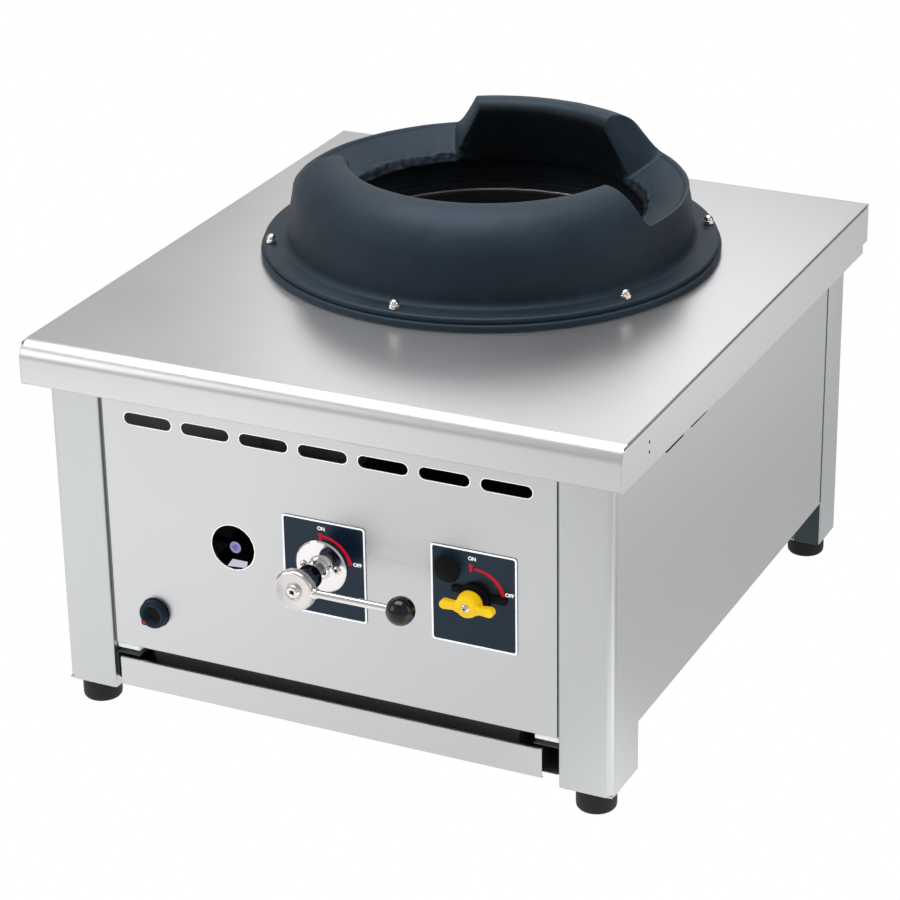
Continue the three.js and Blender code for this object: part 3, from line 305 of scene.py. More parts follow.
class Grain(Enum):
    """The way a sheet's brushed grain runs, as texture scales per axis."""

    X = (0, 1, 1)
    Z = (1, 1, 0)


@dataclass(frozen=True)
class Finish:
    """A surface finish, made once as a material.

    Attributes:
        name: the material's name, after its real material or process.
        base: sRGB hex colour.
        roughness: of the shader.
        metallic: 1 for bare metal.
        glow: painted light, an emission that stands in for light falling on it, as a share of its colour.
        gloss: strength of the shader's specular reflection, 0.5 for common paint.
        sheen: sRGB hex colour of that reflection.
    """

    name: str
    base: str
    roughness: float = 0.5
    metallic: float = 0.0
    glow: float = 0.0
    gloss: float = 0.5
    sheen: str = "#FFFFFF"

    def material(self) -> bpy.types.Material:
        """Returns the finish's material, building it at the first call."""
        found = bpy.data.materials.get(self.name)
        if found:
            return found
        material = bpy.data.materials.new(self.name)
        material.use_nodes = True
        settings = {
            "Base Color": colour(self.base),
            "Roughness": self.roughness,
            "Metallic": self.metallic,
            "Specular IOR Level": self.gloss,
            "Specular Tint": colour(self.sheen),
        }
        if self.glow:
            settings |= {"Emission Color": colour(self.base), "Emission Strength": self.glow}
        self.detail(Surface(material.node_tree, settings))
        return material

    def detail(self, surface: Surface) -> None:
        """Adds the finish's own texture.

        Args:
            surface: the material's nodes.
        """
        raise NotImplementedError


@dataclass(frozen=True)
class BrushedSteel(Finish):
    """Stainless sheet: fine grain one way, soft smears across it and rounded folds.

    Attributes:
        grain: the way the grain runs.
        streak: how strongly the grain shows.
        edge: radius of the folds and cut edges, seen by the shader alone.
    """

    grain: Grain = Grain.X
    streak: float = 0.02
    edge: float = 0.8

    def detail(self, surface: Surface) -> None:
        """Adds grain, smears and softened edges.

        Args:
            surface: the material's nodes.
        """
        across, along = per_mm(0.35), per_mm(45.0)
        scale = tuple(across if value else along for value in self.grain.value)
        stretched = surface.add("Mapping", {"Vector": surface.place, "Scale": scale}).outputs[0]
        inputs = {"Vector": stretched, "Scale": 1.0, "Detail": 3.0}
        grain = surface.add("TexNoise", inputs).outputs["Fac"]
        smears, share = surface.grains(size=130.0, detail=5.0), 0.35
        both = {0: share, 2: grain, 3: smears}
        gloss = surface.add("Mix", both, data_type="FLOAT").outputs[0]
        surface.roughen(gloss, self.roughness, less=0.1, more=0.1)
        dark, light = (colour(self.base, 1.0 + change) for change in (-self.streak, self.streak))
        surface.feed("Base Color", surface.ramp(grain, [(0.3, dark), (0.7, light)]))
        folds = surface.rounded(self.edge)
        surface.feed("Normal", surface.bump(grain, strength=0.25, relief=0.02, under=folds))


@dataclass(frozen=True)
class SandCasting(Finish):
    """Sand-cast iron: grit, slow waves of the mould, and painted highlights on the edges.

    Attributes:
        edge_gleam: sRGB hex colour of the painted highlight on the edges and high spots.
        inward_dark: sRGB hex colour of the faces that look straight at the axis.
        axis: a point of the ring's upright axis.
    """

    edge_gleam: str = "#4A5763"
    inward_dark: str = "#07090B"
    axis: Point = (-4.0, 400.0, 0.0)

    def detail(self, surface: Surface) -> None:
        """Adds grit, waves, pits, painted highlights on the edges, and a darker colour on the faces that
        look in at the axis.

        Args:
            surface: the material's nodes.
        """
        grit = surface.grains(size=1.4, detail=6.0)
        wave = surface.grains(size=28.0, detail=3.0)
        patch = surface.grains(size=55.0, detail=6.0)
        pit_spacing, pit_radius = 19.0, 0.09
        cells = {"Vector": surface.place, "Scale": per_mm(pit_spacing)}
        away = surface.add("TexVoronoi", cells, feature="F1").outputs["Distance"]
        pits = surface.spread(away, (0.0, pit_radius))
        gains = ((0.32, 0.72), (0.52, 1.0), (0.72, 1.25))
        tone = surface.ramp(patch, [(place, colour(self.base, gain)) for place, gain in gains])
        rounded, plain = surface.rounded(radius=2.0), surface.add("NewGeometry").outputs["Normal"]
        # Painted highlight: a lighter colour laid on the edges, where the rounded normal turns away from
        # the plain one.
        gleaming_edges = surface.spread(surface.vector("DOT_PRODUCT", rounded, plain), (1.0, 0.93))
        spoke = surface.vector("SUBTRACT", surface.place, at(*self.axis))
        outward = surface.vector("NORMALIZE", surface.vector("MULTIPLY", spoke, (1.0, 1.0, 0.0)))
        # The faces that look in at the ring's axis are made darker.
        facing_axis = surface.spread(surface.vector("DOT_PRODUCT", outward, plain), (-0.55, -0.85))
        bright = surface.cover(gleaming_edges, tone, self.edge_gleam)
        surface.feed("Base Color", surface.cover(facing_axis, bright, self.inward_dark))
        surface.roughen(patch, self.roughness, less=0.12, more=0.12)
        waves = surface.bump(wave, strength=0.6, relief=1.0, under=rounded)
        hollows = surface.bump(pits, strength=0.5, relief=0.4, under=waves)
        surface.feed("Normal", surface.bump(grit, strength=0.55, relief=0.25, under=hollows))


@dataclass(frozen=True)
class Plating(Finish):
    """Bright or dull plating over turned metal: hairline turning marks and faint stains."""

    def detail(self, surface: Surface) -> None:
        """Adds stains to the gloss and a fine bump.

        Args:
            surface: the material's nodes.
        """
        stains, marks = surface.grains(size=9.0, detail=5.0), surface.grains(size=0.6, detail=2.0)
        surface.roughen(stains, self.roughness, less=0.05, more=0.07)
        surface.feed("Normal", surface.bump(marks, strength=0.06, relief=0.04))


@dataclass(frozen=True)
class Moulded(Finish):
    """Moulded or dipped plastic and rubber.

    Attributes:
        coat: strength of the clear gloss over the colour.
        skin: size of the surface's waves.
        relief: height of the waves.
    """

    coat: float = 0.0
    skin: float = 1.2
    relief: float = 0.05

    def detail(self, surface: Surface) -> None:
        """Adds the skin's waves, uneven gloss and a little colour drift.

        Args:
            surface: the material's nodes.
        """
        drift = surface.grains(size=14.0, detail=3.0)
        tone = surface.ramp(drift, [(0.35, colour(self.base, 0.86)), (0.6, colour(self.base))])
        surface.feed("Base Color", tone)
        surface.roughen(drift, self.roughness, less=0.06, more=0.06)
        waves = surface.grains(self.skin, detail=4.0)
        surface.feed("Normal", surface.bump(waves, strength=0.4, relief=self.relief))
        surface.shader.inputs["Coat Weight"].default_value = self.coat
        surface.shader.inputs["Coat Roughness"].default_value = 0.08


# Grained sheet: a satin gleam drawn out across the grain. Front and tray.
STEEL_X = BrushedSteel("brushed_stainless_x", "#CFD0D1", 0.34, 1.0)
# The thicker, finer ground sheet of the worktop: paler, and almost without streaks.
STEEL_TOP = BrushedSteel("fine_ground_stainless", "#D8D8D9", 0.33, 1.0, streak=0.012, edge=2.4)
# The narrow hem of the worktop: its sheet again, with a crisp edge.
STEEL_HEM = BrushedSteel("fine_ground_stainless_hem", "#D8D8D9", 0.33, 1.0, streak=0.012, edge=0.05)
# Painted shade: the same sheet painted darker, for the returns in the seams beside the panel, where
# little light gets in, and for the worktop's side fold, which mirrors dark surroundings.
SHADED_STEEL = BrushedSteel("painted_shade_stainless", "#7E8182", 0.5, 1.0, grain=Grain.Z)
# Painted shade: the same sheet painted nearly black, for the rear legs' returns in the shade under the
# case and for the fold at the side seams, which mirrors the dark side.
UNLIT_STEEL = BrushedSteel("painted_deep_shade_stainless", "#4C585C", 0.55, 1.0, grain=Grain.Z)
# The same sheet with its grain upright, for the sides and the legs.
STEEL_Z = BrushedSteel("brushed_stainless_z", "#C9CBCC", 0.36, 1.0, grain=Grain.Z)
# Dull plated steel inside the case: a soft cold grey.
ZINC = Plating("zinc_plated_steel", "#9AA0A4", 0.38, 1.0)
# Cast iron with black stove paint: blue-black, gritty, with a low sheen on the shoulders.
IRON = SandCasting("painted_sand_cast_iron", "#18222A", 0.54, sheen="#B6CFE8", edge_gleam="#38444F")
# The same iron inside, burnt black.
SOOTY_IRON = SandCasting("sooty_cast_iron", "#0C0E10", 0.8, edge_gleam="#15181B")
# Phosphated steel of the runners: flat dark grey.
PHOSPHATE = Moulded("phosphated_steel", "#3A4142", 0.6, skin=0.6, relief=0.02)
# Brass and zinc round the pilot, blackened by its flame.
BLACKENED = Plating("flame_blackened_brass", "#040404", 0.8, gloss=0.05)
# Steel of the fire bowl, burnt black-blue.
SOOTY_STEEL = Plating("sooty_steel", "#0B0D10", 0.6)
# Mirror chrome: hard bright and dark bands.
CHROME = Plating("bright_chrome", "#E9E6E5", 0.07, 1.0)
# Chrome in the shadow of the hub: dark, with hard small lights.
SHADED_CHROME = Plating("shaded_chrome", "#3B4655", 0.12, 1.0)
# Nickel-plated dome nuts: small, bright and a little warm.
NICKEL = Plating("nickel_plated_steel", "#E2DAD2", 0.16, 1.0)
# Satin chrome on the hub's face: one soft gleam.
SATIN_CHROME = Plating("satin_chrome", "#DAD6D5", 0.22, 1.0)
# Machined brass: warm, half bright.
BRASS = Plating("machined_brass", "#B08D4A", 0.3, 1.0)
# Drawn copper tube: warm red, half bright.
COPPER = Plating("drawn_copper", "#B4714A", 0.3, 1.0)
# The pilot's electrode as it is seen in the hole: lilac, lit from behind.
LIT_CERAMIC = Moulded("lit_glazed_ceramic", "#A5A4D0", 0.3, glow=0.62, gloss=0.2, skin=3.0, relief=0.02)
# The darker middle of its end, with the same painted glow of light.
DEEP_CERAMIC = Moulded("lit_ceramic_bore", "#7F7FBE", 0.3, glow=0.62, gloss=0.2, skin=3.0, relief=0.02)
# Bright zinc of the pilot's shelf where the daylight falls on it.
LIT_ZINC = Moulded("lit_bright_zinc", "#DCDDEE", 0.4, glow=0.75, skin=3.0, relief=0.02)
# Nylon glide: white, waxy, with a painted glow of light.
NYLON = Moulded("white_nylon", "#F4F4F6", 0.4, glow=0.25, skin=4.0, relief=0.03)
# Painted highlight: a thin, glowing light line on the laser-cut edges.
EDGE_HIGHLIGHT = Moulded("painted_highlight_cut_edge", "#FBFBFC", 0.35, glow=0.5, skin=1.0, relief=0.01)
# Dark blue phenolic of the small knob.
KNOB_BLUE = Moulded("dark_blue_phenolic", "#12222E", gloss=0.35, sheen="#B4D3F0", skin=5.0, relief=0.03)
# Rubber: near black, matt, with a dusty bloom.
RUBBER = Moulded("black_rubber", "#17181B", 0.62, gloss=0.35, skin=0.7, relief=0.08)
# Polished phenolic: deep black with sharp window highlights.
PHENOLIC = Moulded("black_phenolic", "#0A0D0F", 0.14, gloss=0.3, coat=0.3, skin=6.0, relief=0.02)
# Matt black plastic: swallows light. Also painted shade: flat black in the screws' recesses, the lever's
# cap socket, the knob's cup and the apron's holes.
BLACK_MATT = Moulded("matt_black_plastic_and_painted_shade", "#050608", 0.55, gloss=0.15, skin=0.8)
# Dipped vinyl: saturated yellow with thick, soft, wet-looking edges, and a painted glow of light.
VINYL = Moulded(
    "dipped_yellow_vinyl", "#FFD000", 0.36, glow=0.22, gloss=0.35, coat=0.15, skin=7.0, relief=0.12
)
# Screen-printed dark blue plate: even, satin.
PLATE_BLUE = Moulded(
    "printed_blue_plate", "#122131", 0.16, gloss=0.45, sheen="#C4DCF2", skin=0.5, relief=0.01
)
# White print ink: flat and slightly raised, with a painted glow of light.
INK_WHITE = Moulded("white_ink", "#F8F8F9", glow=0.4, skin=0.4, relief=0.01)
# Red print ink, with a painted glow of light.
INK_RED = Moulded("red_ink", "#C8082A", 0.45, glow=0.25, gloss=0.2, skin=0.4, relief=0.01)
# Vitreous enamel: black glass with orange peel.
ENAMEL = Moulded("black_enamel", "#070708", 0.3, gloss=0.15, coat=0.05, skin=4.0, relief=0.06)


# Lines


def arc(centre: Pair, radius: float, degrees: Pair, steps: int) -> list[Pair]:
    """Points on a circle's arc.

    Args:
        centre: its centre.
        radius:.
        degrees: first and last angle.
        steps: spaces between the points.

    Returns:
        The points.
    """
    first, last = (math.radians(d) for d in degrees)
    angles = [first + (last - first) * i / steps for i in range(steps + 1)]
    return [(centre[0] + radius * math.cos(a), centre[1] + radius * math.sin(a)) for a in angles]


def box(first: Pair, last: Pair) -> list[Pair]:
    """The four corners of a rectangle.

    Args:
        first: one corner.
        last: the corner across.

    Returns:
        The outline.
    """
    return [first, (last[0], first[1]), last, (first[0], last[1])]


def beyond(start: float, profile: Line) -> list[Pair]:
    """A turned profile whose places are counted from a point of its axis.

    Args:
        start: that point.
        profile: (radius, place from there).

    Returns:
        Radius and place on the axis.
    """
    return [(radius, start + place) for radius, place in profile]


def rounded_corners(outline: Line, radius: float, steps: int = 5) -> list[Pair]:
    """Rounds every corner of a closed outline.

    Args:
        outline: its corners.
        radius: of the corners.
        steps: points round each corner.

    Returns:
        The rounded outline.
    """
    made: list[Pair] = []
    for i, corner in enumerate(outline):
        here = Vector(corner)
        back = (Vector(outline[i - 1]) - here).normalized()
        on = (Vector(outline[(i + 1) % len(outline)]) - here).normalized()
        half = back.angle(on) / 2.0
        centre = here + (back + on).normalized() * radius / math.sin(half)
        first, last = (here + way * radius / math.tan(half) - centre for way in (back, on))
        turn = math.atan2(first.x * last.y - first.y * last.x, first.dot(last))
        for step in range(steps + 1):
            cosine, sine = math.cos(turn * step / steps), math.sin(turn * step / steps)
            x = centre.x + first.x * cosine - first.y * sine
            y = centre.y + first.x * sine + first.y * cosine
            made.append((x, y))
    return made


def slot_line(middle: Pair, long: float, wide: float) -> list[Pair]:
    """The outline of a level slot with round ends.

    Args:
        middle: its centre.
        long: its whole length.
        wide: its width.

    Returns:
        The outline.
    """
    x, z = middle
    reach = (long - wide) / 2
    return [
        point
        for end, turn in ((x + reach, (-90, 90)), (x - reach, (90, 270)))
        for point in arc((end, z), wide / 2, turn, 16)
    ]


def mix(first: Pair, last: Pair, share: float) -> Pair:
    """A point between two others.

    Args:
        first: the point at share 0.
        last: the point at share 1.
        share: how far along.

    Returns:
        The point.
    """
    return (first[0] + (last[0] - first[0]) * share, first[1] + (last[1] - first[1]) * share)


def soft_share(value: float, soft: float) -> float:
    """Clamps a share to 0 to 1 with rounded corners.

    Args:
        value: the share.
        soft: half the width of the rounded corners.

    Returns:
        The clamped share.
    """

    def ramp(v: float) -> float:
        if v <= -soft:
            return 0.0
        return v if v >= soft else (v + soft) ** 2 / (4.0 * soft)

    return min(1.0, ramp(value) - ramp(value - 1.0))


# Mesh pieces


class Axis(Enum):
    """The axis that a piece is turned about or pushed along."""

    X = "x"
    Y = "y"
    Z = "z"

    def point(self, u: float, v: float, along: float) -> Vector:
        """A point by its place on the axis.

        Args:
            u: the first of the two other coordinates.
            v: the second.
            along: place on the axis.

        Returns:
            The point in metres in the CAD frame.
        """
        if self is Axis.X:
            return at(along, u, v)
        return at(u, along, v) if self is Axis.Y else at(u, v, along)


@dataclass
class Piece:
    """A new mesh on the range.

    Attributes:
        name: the object's name.
        finish: its surface.
        body: the CAD body that it rides on.
        slot: the record's material slot; not used.
        points: vertices in metres in the CAD frame.
        faces: vertex numbers of each face.
        stands_for: CAD nodes that it replaces.
        bevel: radius of its rounded edges, or 0 for none.
        smooth: whether its faces are shaded smooth up to the sharp angle.
        sharp: the sharp angle in degrees.
    """

    name: str
    finish: Finish
    body: str = "range_body"
    slot: str = "brushed_steel"
    points: list[Vector] = field(default_factory=list)
    faces: list[tuple[int, ...]] = field(default_factory=list)
    stands_for: Sequence[str] = ()
    bevel: float = 0.0
    smooth: bool = True
    sharp: float = 35.0

    def turned(self, profile: Line, centre: Pair, steps: int, axis: Axis = Axis.Y) -> Piece:
        """Adds a turned solid.

        Args:
            profile: (radius, place on the axis). It starts and ends on the axis, or
                closes on itself.
            centre: the axis's two fixed coordinates.
            steps: faces round it.
            axis: what it is turned about.

        Returns:
            The piece itself.
        """
        tiny = 1e-9
        rings: list[list[int]] = []
        for out, along in profile:
            first = len(self.points)
            if out < tiny:
                self.points.append(axis.point(*centre, along))
                rings.append([first] * steps)
                continue
            for step in range(steps):
                angle = math.tau * step / steps
                u, v = centre[0] + out * math.cos(angle), centre[1] + out * math.sin(angle)
                self.points.append(axis.point(u, v, along))
            rings.append(list(range(first, first + steps)))
        if profile[0][0] > tiny:
            rings.append(rings[0])
        for low, high in zip(rings, rings[1:]):
            for i in range(steps):
                j = (i + 1) % steps
                self.faces.append(tuple(dict.fromkeys((low[i], low[j], high[j], high[i]))))
        return self

    def slab(self, outline: Line, depth: Pair, axis: Axis = Axis.Y) -> Piece:
        """Adds a flat outline, pushed along an axis.

        Args:
            outline: corners, in the two other coordinates.
            depth: its two ends on the axis.
            axis: the axis.

        Returns:
            The piece itself.
        """
        first, count = len(self.points), len(outline)
        self.points += [axis.point(u, v, level) for level in sorted(depth) for u, v in outline]
        near, far = (list(range(start, start + count)) for start in (first, first + count))
        for i in range(count):
            j = (i + 1) % count
            self.faces.append((near[i], near[j], far[j], far[i]))
        self.faces += [tuple(reversed(near)), tuple(far)]
        return self

    def ribbon(self, inner: Line, outer: Line, depth: Pair, closed: bool = True) -> Piece:
        """Adds a flat ribbon between two lines in (x, z), pushed along y.

        Args:
            inner: points of the one edge.
            outer: as many points of the other edge.
            depth: first and last y.
            closed: whether the ribbon is a loop.

        Returns:
            The piece itself.
        """
        first, count = len(self.points), len(inner)
        self.points += [at(x, level, z) for level in depth for line in (inner, outer) for x, z in line]
        a, b, c, d = (first + k * count for k in range(4))
        for i in range(count if closed else count - 1):
            j = (i + 1) % count
            self.faces += [
                (a + i, b + i, b + j, a + j),
                (c + i, c + j, d + j, d + i),
                (a + i, a + j, c + j, c + i),
                (b + i, d + i, d + j, b + j),
            ]
        if not closed:
            e = count - 1
            self.faces += [(a, c, d, b), (a + e, b + e, d + e, c + e)]
        return self

    def build(self) -> None:
        """Makes the object, gives it its finish and puts it on its body."""
        mesh = bpy.data.meshes.new(self.name)
        mesh.from_pydata([tuple(p) for p in self.points], [], self.faces)
        mesh.validate()
        mesh.update()
        mesh.materials.append(self.finish.material())
        work = bmesh.new()
        work.from_mesh(mesh)
        bmesh.ops.recalc_face_normals(work, faces=work.faces)
        work.to_mesh(mesh)
        work.free()
        thing = bpy.data.objects.new(self.name, mesh)
        bpy.context.scene.collection.objects.link(thing)
        if self.bevel:
            edges = thing.modifiers.new("rounded_edges", "BEVEL")
            edges.width = self.bevel / 1000.0
            edges.segments = 3
            edges.limit_method = "ANGLE"
            edges.angle_limit = math.radians(self.sharp)
        if self.smooth:
            shade(thing, self.sharp)
        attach(thing, self.body)
        if self.stands_for:
            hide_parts(*self.stands_for)


def shade(thing: bpy.types.Object, sharp: float) -> None:
    """Shades a mesh smooth, but for its edges sharper than an angle.

    Args:
        thing: the mesh object.
        sharp: the angle in degrees.
    """
    thing.data.polygons.foreach_set("use_smooth", [True] * len(thing.data.polygons))
    split = thing.modifiers.new("sharp_edges", "EDGE_SPLIT")
    split.split_angle = math.radians(sharp)
    split.use_edge_sharp = False


# Sub-assemblies


@dataclass
class CadFinishes:
    """Gives the CAD nodes that show as they are their finishes.

    Attributes:
        nodes: the frame's node objects by name.
    """

    nodes: dict[str, bpy.types.Object]

    def build(self) -> None:
        """Sets each node's material and smooths its small facets."""
        table = {
            STEEL_TOP: "worktop",
            STEEL_X: "front_panel rear_panel tray_drawer valve_bracket",
            STEEL_Z: "side_panel_left side_panel_right rear_leg_left rear_leg_right",
            ZINC: "main_valve_stem ball_valve_stem supply_pipe link_pipe lighting_tube",
            PHOSPHATE: "runner_left runner_right",
            BLACKENED: "pilot_bracket pilot_burner pilot_electrode pilot_tube",
            IRON: "wok_ring ring_base",
            SOOTY_IRON: "burner_base burner_cap venturi_tube",
            SOOTY_STEEL: "burner_bowl burner_support",
            NICKEL: " ".join(f"ring_nut_{number}" for number in range(1, 7)),
            CHROME: "lever_hub lever_rod lever_cap_nut escutcheon escutcheon_screw_left"
            " escutcheon_screw_right valve_handle_screw",
            BRASS: "injector main_valve_body ball_valve_body gas_inlet pilot_tap_body pilot_rotor",
            COPPER: "pilot_supply_tube",
            RUBBER: "foot_front_left foot_front_right foot_rear_left foot_rear_right",
            PHENOLIC: "lever_ball pilot_knob",
            BLACK_MATT: "hole_plug valve_collar",
            VINYL: "valve_handle",
            PLATE_BLUE: "control_plate_left control_plate_right",
            ENAMEL: "tray_pan",
        }
        done = set()
        for finish, names in table.items():
            for name in names.split():
                self.dress(self.nodes[name], finish)
                done.add(name)
        missing = sorted(set(self.nodes) - done)
        if missing:
            LOG.warning("nodes without a finish: %s", missing)

    def dress(self, node: bpy.types.Object, finish: Finish) -> None:
        """Gives one CAD node its finish.

        Args:
            node: the node's object.
            finish: its surface.
        """
        node.data.materials.clear()
        node.data.materials.append(finish.material())
        for name in ("custom_normal", "sharp_face", "sharp_edge"):
            layer = node.data.attributes.get(name)
            if layer:
                node.data.attributes.remove(layer)
        weld = node.modifiers.new("joined_corners", "WELD")
        weld.merge_threshold = 0.00001
        shade(node, 32.0)
        flat = node.modifiers.new("flat_faces_stay_flat", "WEIGHTED_NORMAL")
        flat.mode = "FACE_AREA"
        flat.weight = 100


@dataclass
class Casting:
    """The wok ring as it is cast: dome, windshield, side shelves and rough inner lip.

    Heights are above the worktop.

    Attributes:
        centre: the ring's axis, as x and y.
        worktop: height of the worktop.
        lip: radius of the crest's inner edge.
        lip_round: radius of the crest's inner round.
        lip_foot: radius and height of the inner wall's foot.
        shelf_inner: radius and height of the side shelves' inner edge.
        rim: radius and height of the side shelves' outer edge.
        shoulder: radius and height where the dome ends.
        foot: radius at the flange.
        flange: outer radius of the ring's own flange.
        flange_height: height of its top.
        base: radius of the base ring under it.
        base_height: height of that ring's top.
        wall: thickness of the iron.
        crests: heights of the front arc and of the windshield.
        front_ends: angles of the front arc's ends, in degrees.
        shield_top: the windshield's reach to the right and left of the back, at its top, in degrees.
        shield_foot: the same at the shelves.
        draft: how many degrees the front arc's ends slant over.
        slant: how many degrees farther the windshield's left end reaches at the inner wall.
    """

    centre: Pair = (-4.0, 400.0)
    worktop: float = 380.0
    lip: float = 138.0
    lip_round: float = 11.0
    lip_foot: Pair = (150.0, 38.0)
    shelf_inner: Pair = (155.0, 46.0)
    rim: Pair = (194.0, 65.0)
    shoulder: Pair = (197.0, 46.0)
    foot: float = 199.5
    flange: float = 224.5
    flange_height: float = 13.0
    base: float = 227.0
    base_height: float = 7.0
    wall: float = 9.0
    crests: Pair = (98.0, 105.0)
    front_ends: Pair = (206.0, 343.0)
    shield_top: Pair = (30.0, 29.5)
    shield_foot: Pair = (39.5, 35.0)
    draft: float = 2.5
    slant: float = 4.0

    def dome(self, crest: float, wall: float, angle: float) -> Pair:
        """A point of the dome's oval section.

        Args:
            crest: the crest's height.
            wall: how far inside the outer face.
            angle: from level, in radians.

        Returns:
            Its radius and height.
        """
        middle = self.lip + self.lip_round
        wide, tall = self.shoulder[0] - wall - middle, crest - wall - self.shoulder[1]
        return (middle + wide * math.cos(angle), self.shoulder[1] + tall * math.sin(angle))

    def high_line(self, crest: float) -> list[Pair]:
        """The section from the inner wall's foot over the crest to the rim.

        Args:
            crest: the crest's height.

        Returns:
            Radius and height of 45 points.
        """
        top = (self.lip, crest - self.lip_round)
        line = [mix(self.lip_foot, top, i / 9) for i in range(9)]
        line += arc((self.lip + self.lip_round, top[1]), self.lip_round, (180, 90), 10)
        last = math.asin((self.rim[1] - self.shoulder[1]) / (crest - self.shoulder[1]))
        upright = math.pi / 2
        return line + [self.dome(crest, 0.0, upright + (last - upright) * i / 25) for i in range(1, 26)]

    def low_line(self) -> list[Pair]:
        """The section of a side shelf, from the lip's foot out to the rim, in 45 points."""
        line = [mix(self.lip_foot, self.shelf_inner, i / 9) for i in range(9)]
        turn = (self.rim[0] - 5.0, self.rim[1] - 2.2)
        line += [mix(self.shelf_inner, turn, i / 27) for i in range(28)]
        for share in (i / 8 for i in range(1, 9)):
            out, up = mix(turn, self.rim, share)
            line.append((out + 0.2 * share, up + 0.9 * math.sin(math.pi * share)))
        return line

    def common_line(self) -> list[Pair]:
        """The outside below the rim, down to the flange's foot."""
        line = [mix(self.rim, self.shoulder, i / 4) for i in range(1, 5)]
        line += [mix(self.shoulder, (self.foot, self.flange_height + 8.0), i / 5) for i in range(1, 5)]
        line += arc((self.foot + 7.0, self.flange_height + 7.0), 7.0, (180, 270), 6)
        line += arc((self.flange - 2.0, self.flange_height - 2.0), 2.0, (90, 0), 4)
        return line + [(self.flange - 1.0, self.base_height + 0.05)]

    def inner_line(self, crest: float) -> list[Pair]:
        """The underside from the flange up into the hollow and down to the lip.

        Args:
            crest: height of the crest over the hollow, or 0 under a side shelf.

        Returns:
            Radius and height of the points.
        """
        outer, inner = (self.shoulder[0] - self.wall - 2.0, 51.5), (self.lip_foot[0] + self.wall, 38.0)
        start = [(self.foot - self.wall, self.base_height + 0.05), outer]
        if not crest:
            return start + [mix(outer, inner, i / 11) for i in range(1, 12)]
        line = [self.dome(crest, self.wall, math.radians(14.0 + 70.0 * i / 8)) for i in range(9)]
        return start + line + [(self.lip + self.wall + 1.0, crest - self.lip_round - 5.0), inner]

    def weight(self, degrees: float, inset: float = 0.0, inward: float = 0.0) -> Pair:
        """How much of the front arc and of the windshield stands at an angle.

        Args:
            degrees: about the ring's axis, 270 at the front.
            inset: how far inside the ends it is asked for, in degrees.
            inward: 0 at the rim to 1 at the inner wall, for the slant of the windshield's left end.

        Returns:
            Two shares from 0 to 1.
        """
        first, last = self.front_ends
        half = (last - first) / 2 + self.draft
        aside = abs((degrees - (first + last) / 2 + 180.0) % 360.0 - 180.0)
        front = (half - inset - aside) / self.draft
        away = (degrees - 90.0 + 180.0) % 360.0 - 180.0
        foot, top = (pair[int(away > 0.0)] for pair in (self.shield_foot, self.shield_top))
        foot += self.slant * inward if away > 0.0 else 0.0
        return (soft_share(front, 0.3), soft_share((foot - inset - abs(away)) / (foot - top), 0.04))

    def angles(self) -> list[float]:
        """The columns' angles in degrees, close together at the ends of the high parts."""
        foot = self.shield_foot[1]
        right = [90.0 - reach for reach in (self.shield_foot[0], self.shield_top[0])]
        left = [90.0 + reach for reach in (self.shield_top[1], foot, foot + self.slant)]
        ends = [*self.front_ends, *right, *left]
        made, angle = [], 0.0
        while angle < 359.9:
            made.append(angle)
            angle += 0.22 if min(abs(angle - end) for end in ends) < 3.2 else 0.8
        return made

    def relief(self, place: Vector, height: float) -> float:
        """How far the sand mould's waves push the surface out,.

        Args:
            place: the point about the ring's axis.
            height: its height over the worktop.

        Returns:
            The push.
        """
        if height < self.flange_height + 1.5:
            return 0.12 * noise.noise(place / 9.0)
        inward = (place.xy.length - self.lip_foot[0]) / 30.0
        low = (self.rim[1] + 4.0 - height) / 15.0
        rough = max(0.0, min(1.0, 1.0 - inward)) * max(0.0, min(1.0, low))
        return 0.55 * noise.noise(place / 24.0) + (0.22 + 1.1 * rough) * noise.noise(place / 7.0)

    def column(
        self, degrees: float, lines: Sequence[Line], under: Sequence[Line], below: Line
    ) -> list[Vector]:
        """The ring's section at one angle.

        Args:
            degrees: the angle about the ring's axis.
            lines: upper sections of the shelf, the front arc and the windshield.
            under: their undersides.
            below: the outside below the rim.

        Returns:
            The points in metres in the CAD frame.
        """
        count, angle = len(lines[0]), math.radians(degrees)
        shares = [self.weight(degrees, 0.0, 1.0 - i / (count - 1)) for i in range(count)]
        shares += [self.weight(degrees, 5.6)] * len(under[0])
        whole = [[*up, *down] for up, down in zip(lines, under)]
        section = [
            mix(mix(low, arch, front), shield, rear)
            for low, arch, shield, (front, rear) in zip(*whole, shares)
        ]
        section[count:count] = below
        made = []
        for index, (radius, height) in enumerate(section):
            place = Vector((radius * math.cos(angle), radius * math.sin(angle), height))
            if index < count + len(below):
                radius += self.relief(place, height)
            if height < self.shelf_inner[1] + 1.5 and radius < self.lip_foot[0] + self.wall:
                height += 1.2 * (noise.noise(place / 8.0) + 0.5 * noise.noise(place / 3.5))
                radius += 0.8 * noise.noise(place / 5.0)
            x, y = self.centre[0] + radius * math.cos(angle), self.centre[1] + radius * math.sin(angle)
            made.append(at(x, y, self.worktop + height))
        return made

